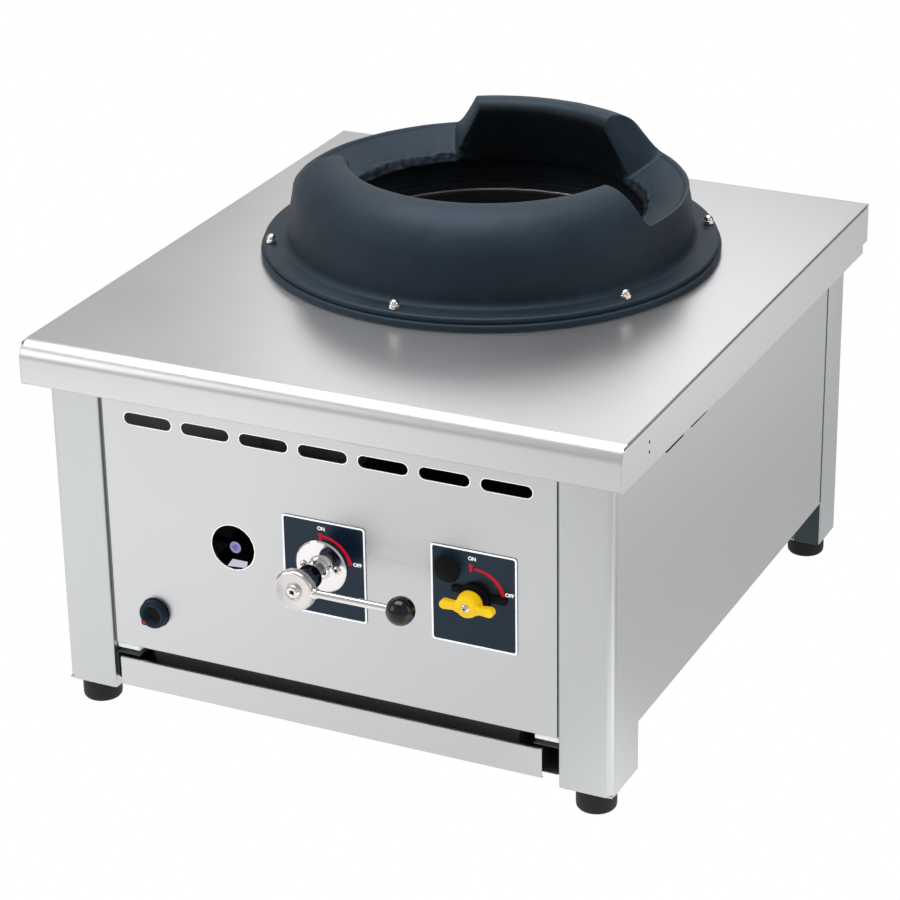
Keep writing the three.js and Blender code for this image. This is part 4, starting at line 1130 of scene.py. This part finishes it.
    def build(self) -> None:
        """Makes the cast ring, its base ring and the nuts."""
        lines = [self.low_line(), *(self.high_line(crest) for crest in self.crests)]
        under = [self.inner_line(crest) for crest in (0.0, *self.crests)]
        ring = Piece("wok_ring_casting", IRON, slot="cast_iron", stands_for=("wok_ring",), sharp=60.0)
        columns = [self.column(degrees, lines, under, self.common_line()) for degrees in self.angles()]
        count = len(columns[0])
        for number, column in enumerate(columns):
            ring.points += column
            here, there = number * count, (number + 1) % len(columns) * count
            for i in range(count):
                j = (i + 1) % count
                ring.faces.append((here + i, here + j, there + j, there + i))
        ring.build()
        edge = arc((self.base - 2.0, self.base_height - 2.0), 2.0, (0, 90), 4)
        base = [(192.0, 0.0), (self.base - 0.8, 0.0), *edge, (192.0, self.base_height)]
        Piece("ring_base_casting", IRON, slot="cast_iron", stands_for=("ring_base",)).turned(
            beyond(self.worktop, base), self.centre, 240, Axis.Z
        ).build()
        for number in range(6):
            self.nut(number)

    def nut(self, number: int) -> None:
        """Makes one dome nut: its hexagon and its dome.

        Args:
            number: counted from the front, to the right.
        """
        turn = 270.0 + 60.0 * number
        centre = arc(self.centre, self.base - 10.5, (turn, turn), 1)[0]
        name, seat = f"ring_nut_{number + 1}", self.worktop + self.flange_height
        Piece(f"{name}_hexagon", NICKEL, slot="chrome", stands_for=(name,), bevel=0.4).slab(
            arc(centre, 5.6, (0, 300), 5), (seat + 0.05, seat + 4.6), Axis.Z
        ).build()
        dome = [(4.7 * math.sin(a), 5.0 + 4.6 * math.cos(a)) for a in (0.25, 0.5, 0.8, 1.1, 1.35, 1.57)]
        dome = beyond(seat, [(0.0, 9.6), *dome, (4.7, 4.4), (0.0, 4.4)])
        Piece(f"{name}_dome", NICKEL, slot="chrome").turned(dome, centre, 40, Axis.Z).build()


def screw_head(name: str, centre: Pair, seat: float, body: str = "range_body") -> None:
    """Makes a cross-head screw.

    Args:
        name: the CAD screw that it stands for.
        centre: its x and z.
        seat: y of the face that it is screwed down on.
        body: the CAD body that it rides on.
    """
    head = beyond(seat, [(0.0, -2.4), (1.6, -2.3), (3.0, -1.7), (3.9, -0.6), (4.0, 0.0), (0.0, 0.3)])
    screw = Piece(f"{name}_head", CHROME, body, "chrome", stands_for=(name,), sharp=28.0)
    screw.turned(head, centre, 48).build()
    x, z = centre
    # Painted shade: flat matt black slabs in the cross recess.
    for turn, (u, v) in enumerate(((2.2, 0.45), (0.45, 2.2))):
        Piece(f"{name}_cross_{turn}", BLACK_MATT, body, "black_plastic").slab(
            box((x - u, z - v), (x + u, z + v)), (seat - 2.48, seat - 1.9)
        ).build()


@dataclass
class Lever:
    """The main valve's lever, escutcheon and screws.

    Attributes:
        axis: the valve's x and z.
        face: y of the hub's front face.
        plate: y of the control plate's face.
        length: from the axis to the ball's centre.
        ball: the ball's radius.
    """

    axis: Pair = (-4.0, 199.0)
    face: float = -32.0
    plate: float = 24.2
    length: float = 105.0
    ball: float = 13.5

    def part(self, name: str, finish: Finish, *stands_for: str, sharp: float = 28.0) -> Piece:
        """Starts a piece that turns with the lever.

        Args:
            name: the piece's name.
            finish: its surface.
            *stands_for: CAD nodes that it replaces.
            sharp: the sharp angle in degrees.

        Returns:
            The piece.
        """
        slot = "black_plastic" if isinstance(finish, Moulded) else "chrome"
        return Piece(name, finish, "main_lever", slot, stands_for=stands_for, sharp=sharp)

    def build(self) -> None:
        """Makes the hub, neck, cap screw, rod, ball, escutcheon and its screws."""
        face, (x, z) = self.face, self.axis
        hub = [(0.0, 1.6), (7.4, 1.6), (8.4, 0.9), (9.4, 0.7), (16.8, 0.05), (17.8, 0.0), (19.0, 0.7)]
        hub += [(19.9, 2.4), (20.0, 3.6), (20.0, 7.5), (19.2, 8.9), (17.6, 9.5), (0.0, 9.7)]
        neck = [(0.0, 9.6), (16.6, 9.6), (13.4, 10.3), (10.6, 12.9), (9.8, 16.5), (10.0, 21.5)]
        neck += [(11.4, 22.7), (11.8, 24.5), (11.8, 33.6), (11.0, 34.8), (0.0, 34.9)]
        cap = [(0.0, -2.4), (2.2, -2.4), (2.8, -3.3), (4.6, -3.0), (6.2, -1.6), (7.0, 0.2)]
        cap += [(7.0, 1.7), (0.0, 1.7)]
        for name, finish, stands_for, profile, steps in (
            ("lever_hub_turned", SATIN_CHROME, ("lever_hub",), hub, 128),
            ("lever_neck_turned", SHADED_CHROME, (), neck, 96),
            ("lever_cap_screw", CHROME, ("lever_cap_nut",), cap, 64),
        ):
            line = beyond(face, profile)
            self.part(name, finish, *stands_for).turned(line, self.axis, steps).build()
        # Painted shade: a flat matt black slab in the cap screw's socket.
        self.part("lever_cap_socket_shade", BLACK_MATT, sharp=35.0).slab(
            arc(self.axis, 2.3, (30, 330), 5), (face - 2.5, face - 2.3)
        ).build()
        rod_line, end = (face + 5.0, z), self.length - 12.0
        rod = [(0.0, 17.0), (5.0, 17.0), (5.4, 19.5), (5.2, 21.6), (4.3, 22.4), (3.7, 24.0)]
        rod += [(3.7, end), (0.0, end)]
        turns = [math.pi * i / 48 for i in range(49)]
        ball = [(self.ball * math.sin(a), self.length - self.ball * math.cos(a)) for a in turns]
        for piece, profile, steps in (
            (self.part("lever_rod_turned", CHROME, "lever_rod"), rod, 64),
            (self.part("lever_ball_moulded", PHENOLIC, "lever_ball", sharp=35.0), ball, 96),
        ):
            piece.turned(beyond(x, profile), rod_line, steps, Axis.X).build()
        front = self.plate - 3.0
        disc = [(6.3, -6.0), (9.0, -6.0), (10.0, -5.0), (10.6, -1.5), (12.0, 0.0), (24.6, 0.2)]
        disc += [(26.0, 1.4), (26.0, 3.0), (6.3, 3.0)]
        Piece("escutcheon_pressed", CHROME, slot="chrome", stands_for=("escutcheon",), sharp=28.0).turned(
            beyond(front, disc), self.axis, 128
        ).build()
        for side, sign in SIDES:
            screw_head(f"escutcheon_screw_{side}", (x + 17.0 * sign, z), front)


@dataclass
class GasHandle:
    """The shut-off valve's butterfly handle, its collar with the stop plate, and the hole plug.

    Attributes:
        axis: the valve's x and z.
        front: y of the handle's front face.
        plate: y of the control plate's face.
        plug: the plug's x and z.
    """

    axis: Pair = (150.5, 198.0)
    front: float = 2.0
    plate: float = 24.2
    plug: Pair = (122.5, 221.0)

    def build(self) -> None:
        """Makes the handle, its screw, the collar and the plug."""
        front, plate, (x, z) = self.front, self.plate, self.axis
        barrel = [(0.0, 0.5), (5.4, 0.3), (7.6, 0.0), (9.2, 0.5), (10.4, 1.8), (11.2, 4.0), (12.2, 9.0)]
        barrel += [(12.5, 11.2), (11.8, 12.3), (10.4, 12.6), (0.0, 12.6)]
        wings = arc((-22.25, 0.0), 4.25, (90, 270), 12)
        wings += [(-13.0, -3.4), (-9.0, -5.2), (9.0, -5.2), (13.0, -3.4)]
        wings += arc((22.25, 0.0), 4.25, (-90, 90), 12)
        wings += [(13.0, 3.4), (9.0, 5.4), (-9.0, 5.4), (-13.0, 3.4)]
        handle = Piece("valve_handle_dipped", VINYL, "gas_handle", "yellow_vinyl", bevel=2.2)
        handle.stands_for = ("valve_handle",)
        handle.turned(beyond(front, barrel), self.axis, 72)
        handle.slab([(x + u, z + v - 1.6) for u, v in wings], (front + 1.4, front + 8.4)).build()
        screw_head("valve_handle_screw", self.axis, front + 0.1, "gas_handle")
        collar = [(5.4, -9.0), (10.8, -9.0), (12.6, -8.2), (13.0, -5.2), (14.4, -4.8), (15.0, -3.8)]
        collar += [(15.0, 0.0), (5.4, 0.0)]
        stop = Piece("valve_collar_moulded", BLACK_MATT, slot="black_plastic", bevel=0.5)
        stop.stands_for = ("valve_collar",)
        stop.turned(beyond(plate, collar), self.axis, 72)
        for left, right, low, high in ((-23.0, 0.0, 3.0, 9.5), (0.0, 31.0, -1.0, 6.5)):
            ear = rounded_corners(box((x + left, z + low), (x + right, z + high)), 1.8)
            stop.slab(ear, (plate - 2.5, plate - 0.1))
        stop.build()
        plug = [(0.0, -1.2), (11.6, -1.15), (12.6, -0.8), (13.0, -0.1), (12.6, 0.0), (0.0, 0.0)]
        Piece("hole_plug_moulded", BLACK_MATT, slot="black_plastic", stands_for=("hole_plug",)).turned(
            beyond(plate, plug), self.plug, 72
        ).build()


@dataclass
class Knob:
    """The small knob of the pilot tap, with its cupped face and red mark.

    Attributes:
        axis: its x and z.
        front: y of its face.
        mark_reach: from the axis to the mark at the lower left.
    """

    axis: Pair = (-185.0, 113.0)
    front: float = 17.0
    mark_reach: float = 12.4

    def build(self) -> None:
        """Makes the knob, the painted shade at the bottom of its cup, and the mark."""
        front, ride = self.front, ("pilot_control", "black_plastic")
        cap = [(0.0, 4.6), (7.0, 4.6), (8.0, 3.6), (8.8, 1.2), (9.8, 0.2), (11.0, 0.0), (12.8, 0.2)]
        cap += [(13.7, 0.9), (14.0, 2.0), (14.0, 13.0), (0.0, 13.0)]
        mark = arc(self.axis, self.mark_reach, (225, 225), 1)[0]
        knob = Piece("pilot_knob_moulded", KNOB_BLUE, *ride, stands_for=("pilot_knob",), bevel=0.6)
        knob.turned(beyond(front, cap), self.axis, 72)
        knob.slab(arc(mark, 3.2, (0, 342), 19), (front + 0.1, front + 4.0)).build()
        # Painted shade: a matt black disc at the bottom of the knob's cup.
        cup = beyond(front, [(0.0, 4.45), (6.9, 4.45), (6.9, 4.7), (0.0, 4.7)])
        Piece("pilot_knob_cup_shade", BLACK_MATT, *ride).turned(cup, self.axis, 48).build()
        disc = arc(mark, 1.8, (0, 342), 19)
        Piece("pilot_knob_mark", INK_RED, *ride).slab(disc, (front - 0.02, front + 0.3)).build()


@dataclass
class Details:
    """Feet, glides, hems, painted shade in the seams and folds, painted highlights on the cut edges, and
    what shows in the sight hole.

    Attributes:
        panel: y of the front panel's face.
        hole: x and z of the sight hole's middle.
        electrode: x and z of the pilot electrode's axis.
        vents: z of the row of slots, and their spacing.
    """

    panel: float = 25.0
    hole: Pair = (-97.0, 199.0)
    electrode: Pair = (-112.5, 182.0)
    vents: Pair = (311.5, 60.5)

    def build(self) -> None:
        """Makes them all."""
        self.feet()
        for side, sign in SIDES:
            glide = box((sign * 206.5, 65.5), (sign * 230.5, 70.5))
            piece = Piece(f"runner_glide_{side}", NYLON, slot="ceramic", bevel=0.8)
            piece.slab(glide, (27.5, 45.0)).build()
        self.pilot()
        for side, sign in SIDES:
            self.trim(side, sign)
        self.edges()
        # Painted shade: flat matt black discs where the side apron's two small holes are.
        for number, height in enumerate((352.2, 361.9)):
            Piece(f"apron_hole_shade_{number + 1}", BLACK_MATT, slot="black_plastic").turned(
                [(0.0, 299.9), (1.7, 299.9), (1.7, 300.02), (0.0, 300.02)], (63.5, height), 32, Axis.X
            ).build()

    def feet(self) -> None:
        """Makes the four rubber feet."""
        foot = [(0.0, 0.0), (15.4, 0.0), (17.4, 0.5), (18.6, 2.0), (19.0, 4.4), (19.0, 19.6)]
        foot += [(18.5, 21.8), (17.0, 23.0), (5.0, 23.0), (5.0, 35.0), (0.0, 35.0)]
        for end, y in (("front", 43.0), ("rear", 615.0)):
            for side, sign in SIDES:
                name = f"foot_{end}_{side}"
                Piece(f"{name}_moulded", RUBBER, slot="rubber", stands_for=(name,)).turned(
                    foot, (sign * 261.0, y), 72, Axis.Z
                ).build()

    def pilot(self) -> None:
        """Makes the lit shelf, the draught shield and the electrode's end behind the sight hole."""
        shelf = [(-119.4, 52.1), (-100.8, 55.2), (-105.7, 66.0), (-121.8, 66.0)]
        shield = box((-140.0, 30.0), (-120.6, 92.0))
        for name, finish, outline, depth in (
            ("pilot_shelf_lit", LIT_ZINC, shelf, (163.05, 163.6)),
            ("pilot_draught_shield", BLACKENED, shield, (162.4, 163.0)),
        ):
            Piece(name, finish, slot="zinc_steel", smooth=False).slab(outline, depth, Axis.Z).build()
        back = 56.1
        for name, finish, out, front in (
            ("pilot_electrode_end", LIT_CERAMIC, 5.9, 55.9),
            ("pilot_electrode_bore", DEEP_CERAMIC, 3.4, 55.8),
        ):
            end = [(0.0, front), (out - 0.4, front), (out, front + 0.3), (out, back), (0.0, back)]
            Piece(name, finish, slot="ceramic").turned(end, self.electrode, 48).build()

    def trim(self, side: str, sign: int) -> None:
        """Makes the hem of one side, and the painted shade of its fold line, seams and rear leg return.

        Args:
            side: left or right.
            sign: its sign along x.
        """
        # Painted shade: a strip of darker steel in the seam beside the front panel.
        depth = self.panel + (0.1 if sign < 0 else 0.9)
        Piece(f"panel_seam_shade_{side}", SHADED_STEEL, smooth=False).slab(
            box((sign * 229.7, 73.0), (sign * 231.9, 338.0)), (depth, depth + 0.8)
        ).build()
        hem = [(3.0, 343.5), (3.0, 337.6), (122.0, 336.2), (180.0, 335.5), (245.0, 333.4)]
        fold = [(6.0, 377.0), (655.0, 377.3), (655.0, 379.2), (6.0, 379.2)]
        for name, finish, outline, inner, outer in (
            ("worktop_hem", STEEL_HEM, [*hem, (647.0, 330.8), (647.0, 343.5)], 298.9, 300.02),
            # Painted shade: a dark steel strip along the worktop's side fold.
            ("worktop_fold_shade", SHADED_STEEL, fold, 299.2, 300.03),
            # Painted shade: a nearly black strip over the rear leg's fold at the side seam.
            ("side_seam_shade", UNLIT_STEEL, box((583.4, 73.0), (586.6, 338.0)), 284.4, 285.12),
        ):
            strip = Piece(f"{name}_{side}", finish, smooth=False)
            strip.slab(outline, (sign * inner, sign * outer), Axis.X).build()
        # Painted shade: a nearly black sheet over the rear leg's return, in the shade under the case.
        Piece(f"rear_leg_return_shade_{side}", UNLIT_STEEL, smooth=False).slab(
            box((sign * 257.6, 23.4), (sign * 284.6, 71.6)), (585.4, 585.96)
        ).build()

    def edges(self) -> None:
        """Makes the painted highlight lines round the cut openings of the front panel."""
        height, spacing = self.vents
        lines = {}
        for number in range(7):
            middle = (spacing * (number - 3), height)
            pair = tuple(slot_line(middle, *size) for size in ((50.0, 12.0), (51.4, 13.4)))
            lines[f"vent_edge_{number + 1}"] = pair
        pair = tuple(arc(self.hole, radius, (0, 355), 71) for radius in (22.5, 23.2))
        lines["sight_hole_edge"] = pair
        for name, (inner, outer) in lines.items():
            Piece(name, EDGE_HIGHLIGHT).ribbon(inner, outer, (self.panel - 0.08, self.panel + 0.05)).build()


@dataclass
class Dial:
    """A printed control plate: pale border, arc from ON to OFF, and its words.

    Attributes:
        name: left or right.
        centre: the plate's x and z.
        axis: the valve's x and z.
        radius: middle of the red arc's width.
        sweep: first and last angle of the arc in degrees.
        tick: the red mark's foot from the valve's axis.
        words: centres of ON and OFF from the valve's axis.
        size: width and height of the plate.
        face: y of the plate's face.
    """

    name: str
    centre: Pair
    axis: Pair
    radius: float
    sweep: Pair
    tick: Pair
    words: tuple[Pair, Pair]
    size: Pair = (85.0, 97.0)
    face: float = 24.2

    def build(self) -> None:
        """Makes the plate's print."""
        front = (self.face - 0.12, self.face + 0.02)
        (x, z), (valve_x, valve_z) = self.centre, self.axis

        def frame_line(inset: float, radius: float) -> list[Pair]:
            w, h = (length / 2 - inset for length in self.size)
            return rounded_corners(box((x - w, z - h), (x + w, z + h)), radius)

        def inked(name: str, ink: Finish) -> Piece:
            return Piece(f"dial_{name}_{self.name}", ink, slot="plate_navy")

        inked("border", INK_WHITE).ribbon(frame_line(1.9, 2.2), frame_line(0.1, 3.0), front).build()
        first, last = self.sweep
        edges: tuple[list[Pair], list[Pair]] = ([], [])
        for share in (i / 24 for i in range(25)):
            half, angle = 1.2 + 0.7 * share, first + (last - first) * share
            for edge, radius in zip(edges, (self.radius - half, self.radius + half)):
                edge += arc(self.axis, radius, (angle, angle), 1)[:1]
        inked("arc", INK_RED).ribbon(*edges, front, closed=False).build()
        tick = [(-2.2, 3.8), (-1.2, 0.0), (-1.4, -3.6), (1.4, -3.6), (1.2, 0.0), (2.2, 3.8)]
        inked("tick", INK_RED).slab(
            [(valve_x + self.tick[0] + u, valve_z + self.tick[1] + v) for u, v in tick], front
        ).build()
        for text, (u, v) in zip(("ON", "OFF"), self.words):
            self.word(text, (valve_x + u, valve_z + v))

    def word(self, text: str, middle: Pair) -> None:
        """Prints one word.

        Args:
            text: the word.
            middle: its centre, as x and z.
        """
        curve = bpy.data.curves.new(f"dial_{text.lower()}_{self.name}", "FONT")
        curve.body = text
        curve.size = 0.0049
        curve.align_x = "CENTER"
        curve.align_y = "CENTER"
        curve.extrude = 0.00006
        curve.offset = 0.00018
        curve.materials.append(INK_WHITE.material())
        thing = bpy.data.objects.new(curve.name, curve)
        bpy.context.scene.collection.objects.link(thing)
        upright = Euler((math.pi / 2, 0.0, 0.0)).to_matrix().to_4x4()
        thing.matrix_world = Matrix.Translation(at(middle[0], self.face - 0.08, middle[1])) @ upright
        bpy.context.view_layer.update()
        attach(thing, "range_body")


@dataclass(frozen=True)
class Glow:
    """A soft spot of light or shade on what the metal mirrors.

    Attributes:
        centre: its middle.
        reach: its half widths along x, y and z.
        low: the value far away.
        high: the value at its middle.
    """

    centre: Point
    reach: Point
    low: float
    high: float

    def value(self, graph: Graph) -> Socket:
        """The spot's value at the shaded point.

        Args:
            graph: the material's nodes.

        Returns:
            The value.
        """
        away = graph.vector("SUBTRACT", graph.add("TexCoord").outputs["Object"], at(*self.centre))
        scaled = graph.vector("MULTIPLY", away, tuple(1000.0 / reach for reach in self.reach))
        out = graph.vector("LENGTH", scaled)
        return graph.spread(out, made=(self.high, self.low), kind="SMOOTHSTEP")


@dataclass
class Studio:
    """Floor, lights, surroundings and camera.

    Attributes:
        azimuth: of the camera, in degrees to the right of straight ahead.
        elevation: of the camera in degrees.
        roll: of the camera in degrees.
        distance: from the target.
        target: what the camera looks at,.
        lens: focal length on a 36 mm sensor.
        wash: the floor's light as reflections see it.
        streak: bright strip on the floor at the right front, which runs down the front leg's round.
        side_glow: bright part of the floor at the right, which the worktop's side apron mirrors.
        flag: black flag on the floor, which darkens a part of the left control plate.
        apron_flag: grey flag on the floor, which dims the right end of the worktop's front apron.
        screen_wash: the light of the screen behind the range.
        screen_glow: the screen's brightest part, which the worktop mirrors in front of the ring.
        screen_y: the screen's place.
        room: strength of the room's light, which only reflections and diffuse light see.
        paper: the floor's grey as the other surfaces see it.
        darkest: what the black flag leaves of the floor's light.
    """

    azimuth: float = 25.638
    elevation: float = 24.506
    roll: float = -0.915
    distance: float = 3060.0
    target: Point = (-4.72, 300.0, 199.83)
    lens: float = 124.11
    wash: Glow = Glow((-560.0, -520.0, 0.0), (1500.0, 1900.0, 1000.0), 0.64, 1.25)
    streak: Glow = Glow((640.0, -60.0, 0.0), (540.0, 400.0, 1000.0), 0.0, 1.4)
    side_glow: Glow = Glow((1100.0, 1000.0, 0.0), (650.0, 1100.0, 1000.0), 0.0, 0.9)
    flag: Glow = Glow((-152.0, -425.0, 0.0), (44.0, 66.0, 1000.0), 1.0, -2.5)
    apron_flag: Glow = Glow((-50.0, -800.0, 0.0), (340.0, 190.0, 1000.0), 1.0, 0.25)
    screen_wash: Glow = Glow((-150.0, 1400.0, 1000.0), (800.0, 1000.0, 500.0), 0.45, 1.58)
    screen_glow: Glow = Glow((-680.0, 1400.0, 1100.0), (300.0, 1000.0, 300.0), 0.0, 1.5)
    screen_y: float = 1400.0
    room: float = 0.72
    paper: float = 0.85
    darkest: float = 0.04

    def camera(self) -> None:
        """Puts the camera where the photograph was taken."""
        a, e, r = (math.radians(v) for v in (self.azimuth, self.elevation, self.roll))
        back = Vector((math.sin(a) * math.cos(e), -math.cos(a) * math.cos(e), math.sin(e)))
        right = Vector((math.cos(a), math.sin(a), 0.0))
        up = back.cross(right)
        turned_right = right * math.cos(r) + up * math.sin(r)
        turned_up = up * math.cos(r) - right * math.sin(r)
        data = bpy.data.cameras.new("photo_camera")
        data.lens = self.lens
        data.sensor_width = 36.0
        data.clip_end = 50.0
        thing = bpy.data.objects.new("photo_camera", data)
        bpy.context.scene.collection.objects.link(thing)
        spin = Matrix((turned_right, turned_up, back)).transposed().to_4x4()
        thing.matrix_world = Matrix.Translation(at(*self.target) + back * self.distance / 1000.0) @ spin
        bpy.context.scene.camera = thing

    def softbox(self, name: str, place: Point, aim: Point, size: Pair, power: float) -> None:
        """Adds a rectangular light.

        Args:
            name: the light's name.
            place: its centre.
            aim: what it points at.
            size: width and height in metres.
            power: in watts.
        """
        data = bpy.data.lights.new(name, "AREA")
        data.shape = "RECTANGLE"
        data.size, data.size_y = size
        data.energy = power
        thing = bpy.data.objects.new(name, data)
        bpy.context.scene.collection.objects.link(thing)
        thing.location = at(*place)
        thing.rotation_euler = (at(*place) - at(*aim)).to_track_quat("Z", "Y").to_euler()

    def surroundings(self) -> None:
        """Makes a pale room that only reflections and light see, on a white background."""
        world = bpy.data.worlds.new("studio")
        bpy.context.scene.world = world
        world.use_nodes = True
        graph = Graph(world.node_tree)
        height = graph.add("SeparateXYZ", {0: graph.add("TexCoord").outputs["Generated"]}).outputs["Z"]
        bands = [(0.0, 0.7), (0.5, 0.6), (0.62, 0.8), (1.0, 0.5)]
        share = graph.spread(height, (-1.0, 1.0))
        room = graph.ramp(share, [(place, grey(light)) for place, light in bands])
        lit = graph.add("Background", {"Color": room, "Strength": self.room}).outputs[0]
        white = graph.add("Background", {"Color": grey(1.0), "Strength": 1.0}).outputs[0]
        seen = graph.add("LightPath").outputs["Is Camera Ray"]
        both = graph.add("MixShader", {0: seen, 1: lit, 2: white}).outputs[0]
        graph.add("OutputWorld", {"Surface": both})

    def sheet(self, name: str, corners: Sequence[Point]) -> tuple[bpy.types.Object, Graph]:
        """Adds one flat studio surface with an empty material.

        Args:
            name: the sheet's name.
            corners: four corners.

        Returns:
            The object and its material's nodes.
        """
        mesh = bpy.data.meshes.new(name)
        mesh.from_pydata([at(*corner) for corner in corners], [], [(0, 1, 2, 3)])
        material = bpy.data.materials.new(name)
        material.use_nodes = True
        mesh.materials.append(material)
        thing = bpy.data.objects.new(name, mesh)
        bpy.context.scene.collection.objects.link(thing)
        return thing, Graph(material.node_tree)

    def floor(self) -> None:
        """Lays the pale floor: white to the eye, darker to the right where the light falls off."""
        wide = 8000.0
        corners = [(x, y, 0.0) for x, y in box((-wide, -wide), (wide, wide))]
        _, graph = self.sheet("studio_floor", corners)
        glows = (self.wash, self.streak, self.side_glow, self.flag, self.apron_flag)
        wash, strip, side, flag, apron_flag = (glow.value(graph) for glow in glows)
        light = graph.maths("ADD", graph.maths("ADD", wash, strip), side)
        shade_left = graph.maths("MULTIPLY", graph.maths("MAXIMUM", flag, self.darkest), apron_flag)
        path = graph.add("LightPath")
        paper = graph.add("BsdfDiffuse", {"Color": grey(self.paper)}).outputs[0]
        strength = graph.maths("MULTIPLY", light, shade_left)
        seen = paper
        for ray, inputs in (("Is Glossy Ray", {"Strength": strength}), ("Is Camera Ray", {})):
            lit = graph.add("Emission", inputs).outputs[0]
            seen = graph.add("MixShader", {0: path.outputs[ray], 1: seen, 2: lit}).outputs[0]
        graph.add("OutputMaterial", {"Surface": seen})

    def wall(self, name: str, first: Pair, last: Pair, *glows: Glow) -> None:
        """Hangs an upright sheet behind the range that only reflections see.

        Args:
            name: the sheet's name.
            first: x and z of one corner.
            last: the corner across.
            *glows: what adds up to its light, or nothing for a black card.
        """
        thing, graph = self.sheet(name, [(x, self.screen_y, z) for x, z in box(first, last)])
        light: Socket | float = 0.0
        for glow in glows:
            light = graph.maths("ADD", light, glow.value(graph))
        graph.add("OutputMaterial", {"Surface": graph.add("Emission", {"Strength": light}).outputs[0]})
        thing.visible_camera = False
        thing.visible_diffuse = False
        thing.visible_shadow = False

    def build(self) -> None:
        """Makes the whole studio."""
        self.surroundings()
        self.floor()
        glows = (self.screen_wash, self.screen_glow)
        self.wall("studio_screen", (-3200.0, 420.0), (500.0, 2600.0), *glows)
        # The black card makes the dark line along the worktop's right fold.
        self.wall("studio_dark_card", (480.0, 250.0), (1600.0, 1350.0))
        self.camera()
        self.softbox("key_overhead", (-300.0, 300.0, 2200.0), (0.0, 300.0, 300.0), (1.8, 1.8), 48)
        self.softbox("front_left_fill", (-1800.0, -1500.0, 1300.0), (0.0, 200.0, 200.0), (1.4, 1.4), 10)
        self.softbox("right_edge", (2300.0, 500.0, 900.0), (200.0, 300.0, 200.0), (1.0, 1.4), 5)
        view = bpy.context.scene.view_settings
        view.view_transform = "Standard"
        view.look = "None"
        view.exposure = 0.0


def main() -> None:
    """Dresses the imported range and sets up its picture."""
    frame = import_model()
    CadFinishes(frame["nodes"]).build()
    for part in (Casting(), Lever(), GasHandle(), Knob(), Details()):
        part.build()
    Dial(
        name="left",
        centre=(-1.5, 196.5),
        axis=(-4.0, 199.0),
        radius=30.5,
        sweep=(88.0, 12.0),
        tick=(-0.6, 29.0),
        words=((0.4, 37.8), (36.7, 7.7)),
    ).build()
    Dial(
        name="right",
        centre=(149.0, 196.5),
        axis=(150.5, 198.0),
        radius=28.5,
        sweep=(91.0, 12.0),
        tick=(-4.2, 28.8),
        words=((-2.9, 38.4), (33.7, 9.0)),
    ).build()
    Studio().build()


if __name__ == "__main__":
    logging.basicConfig(level=logging.INFO)
    main()
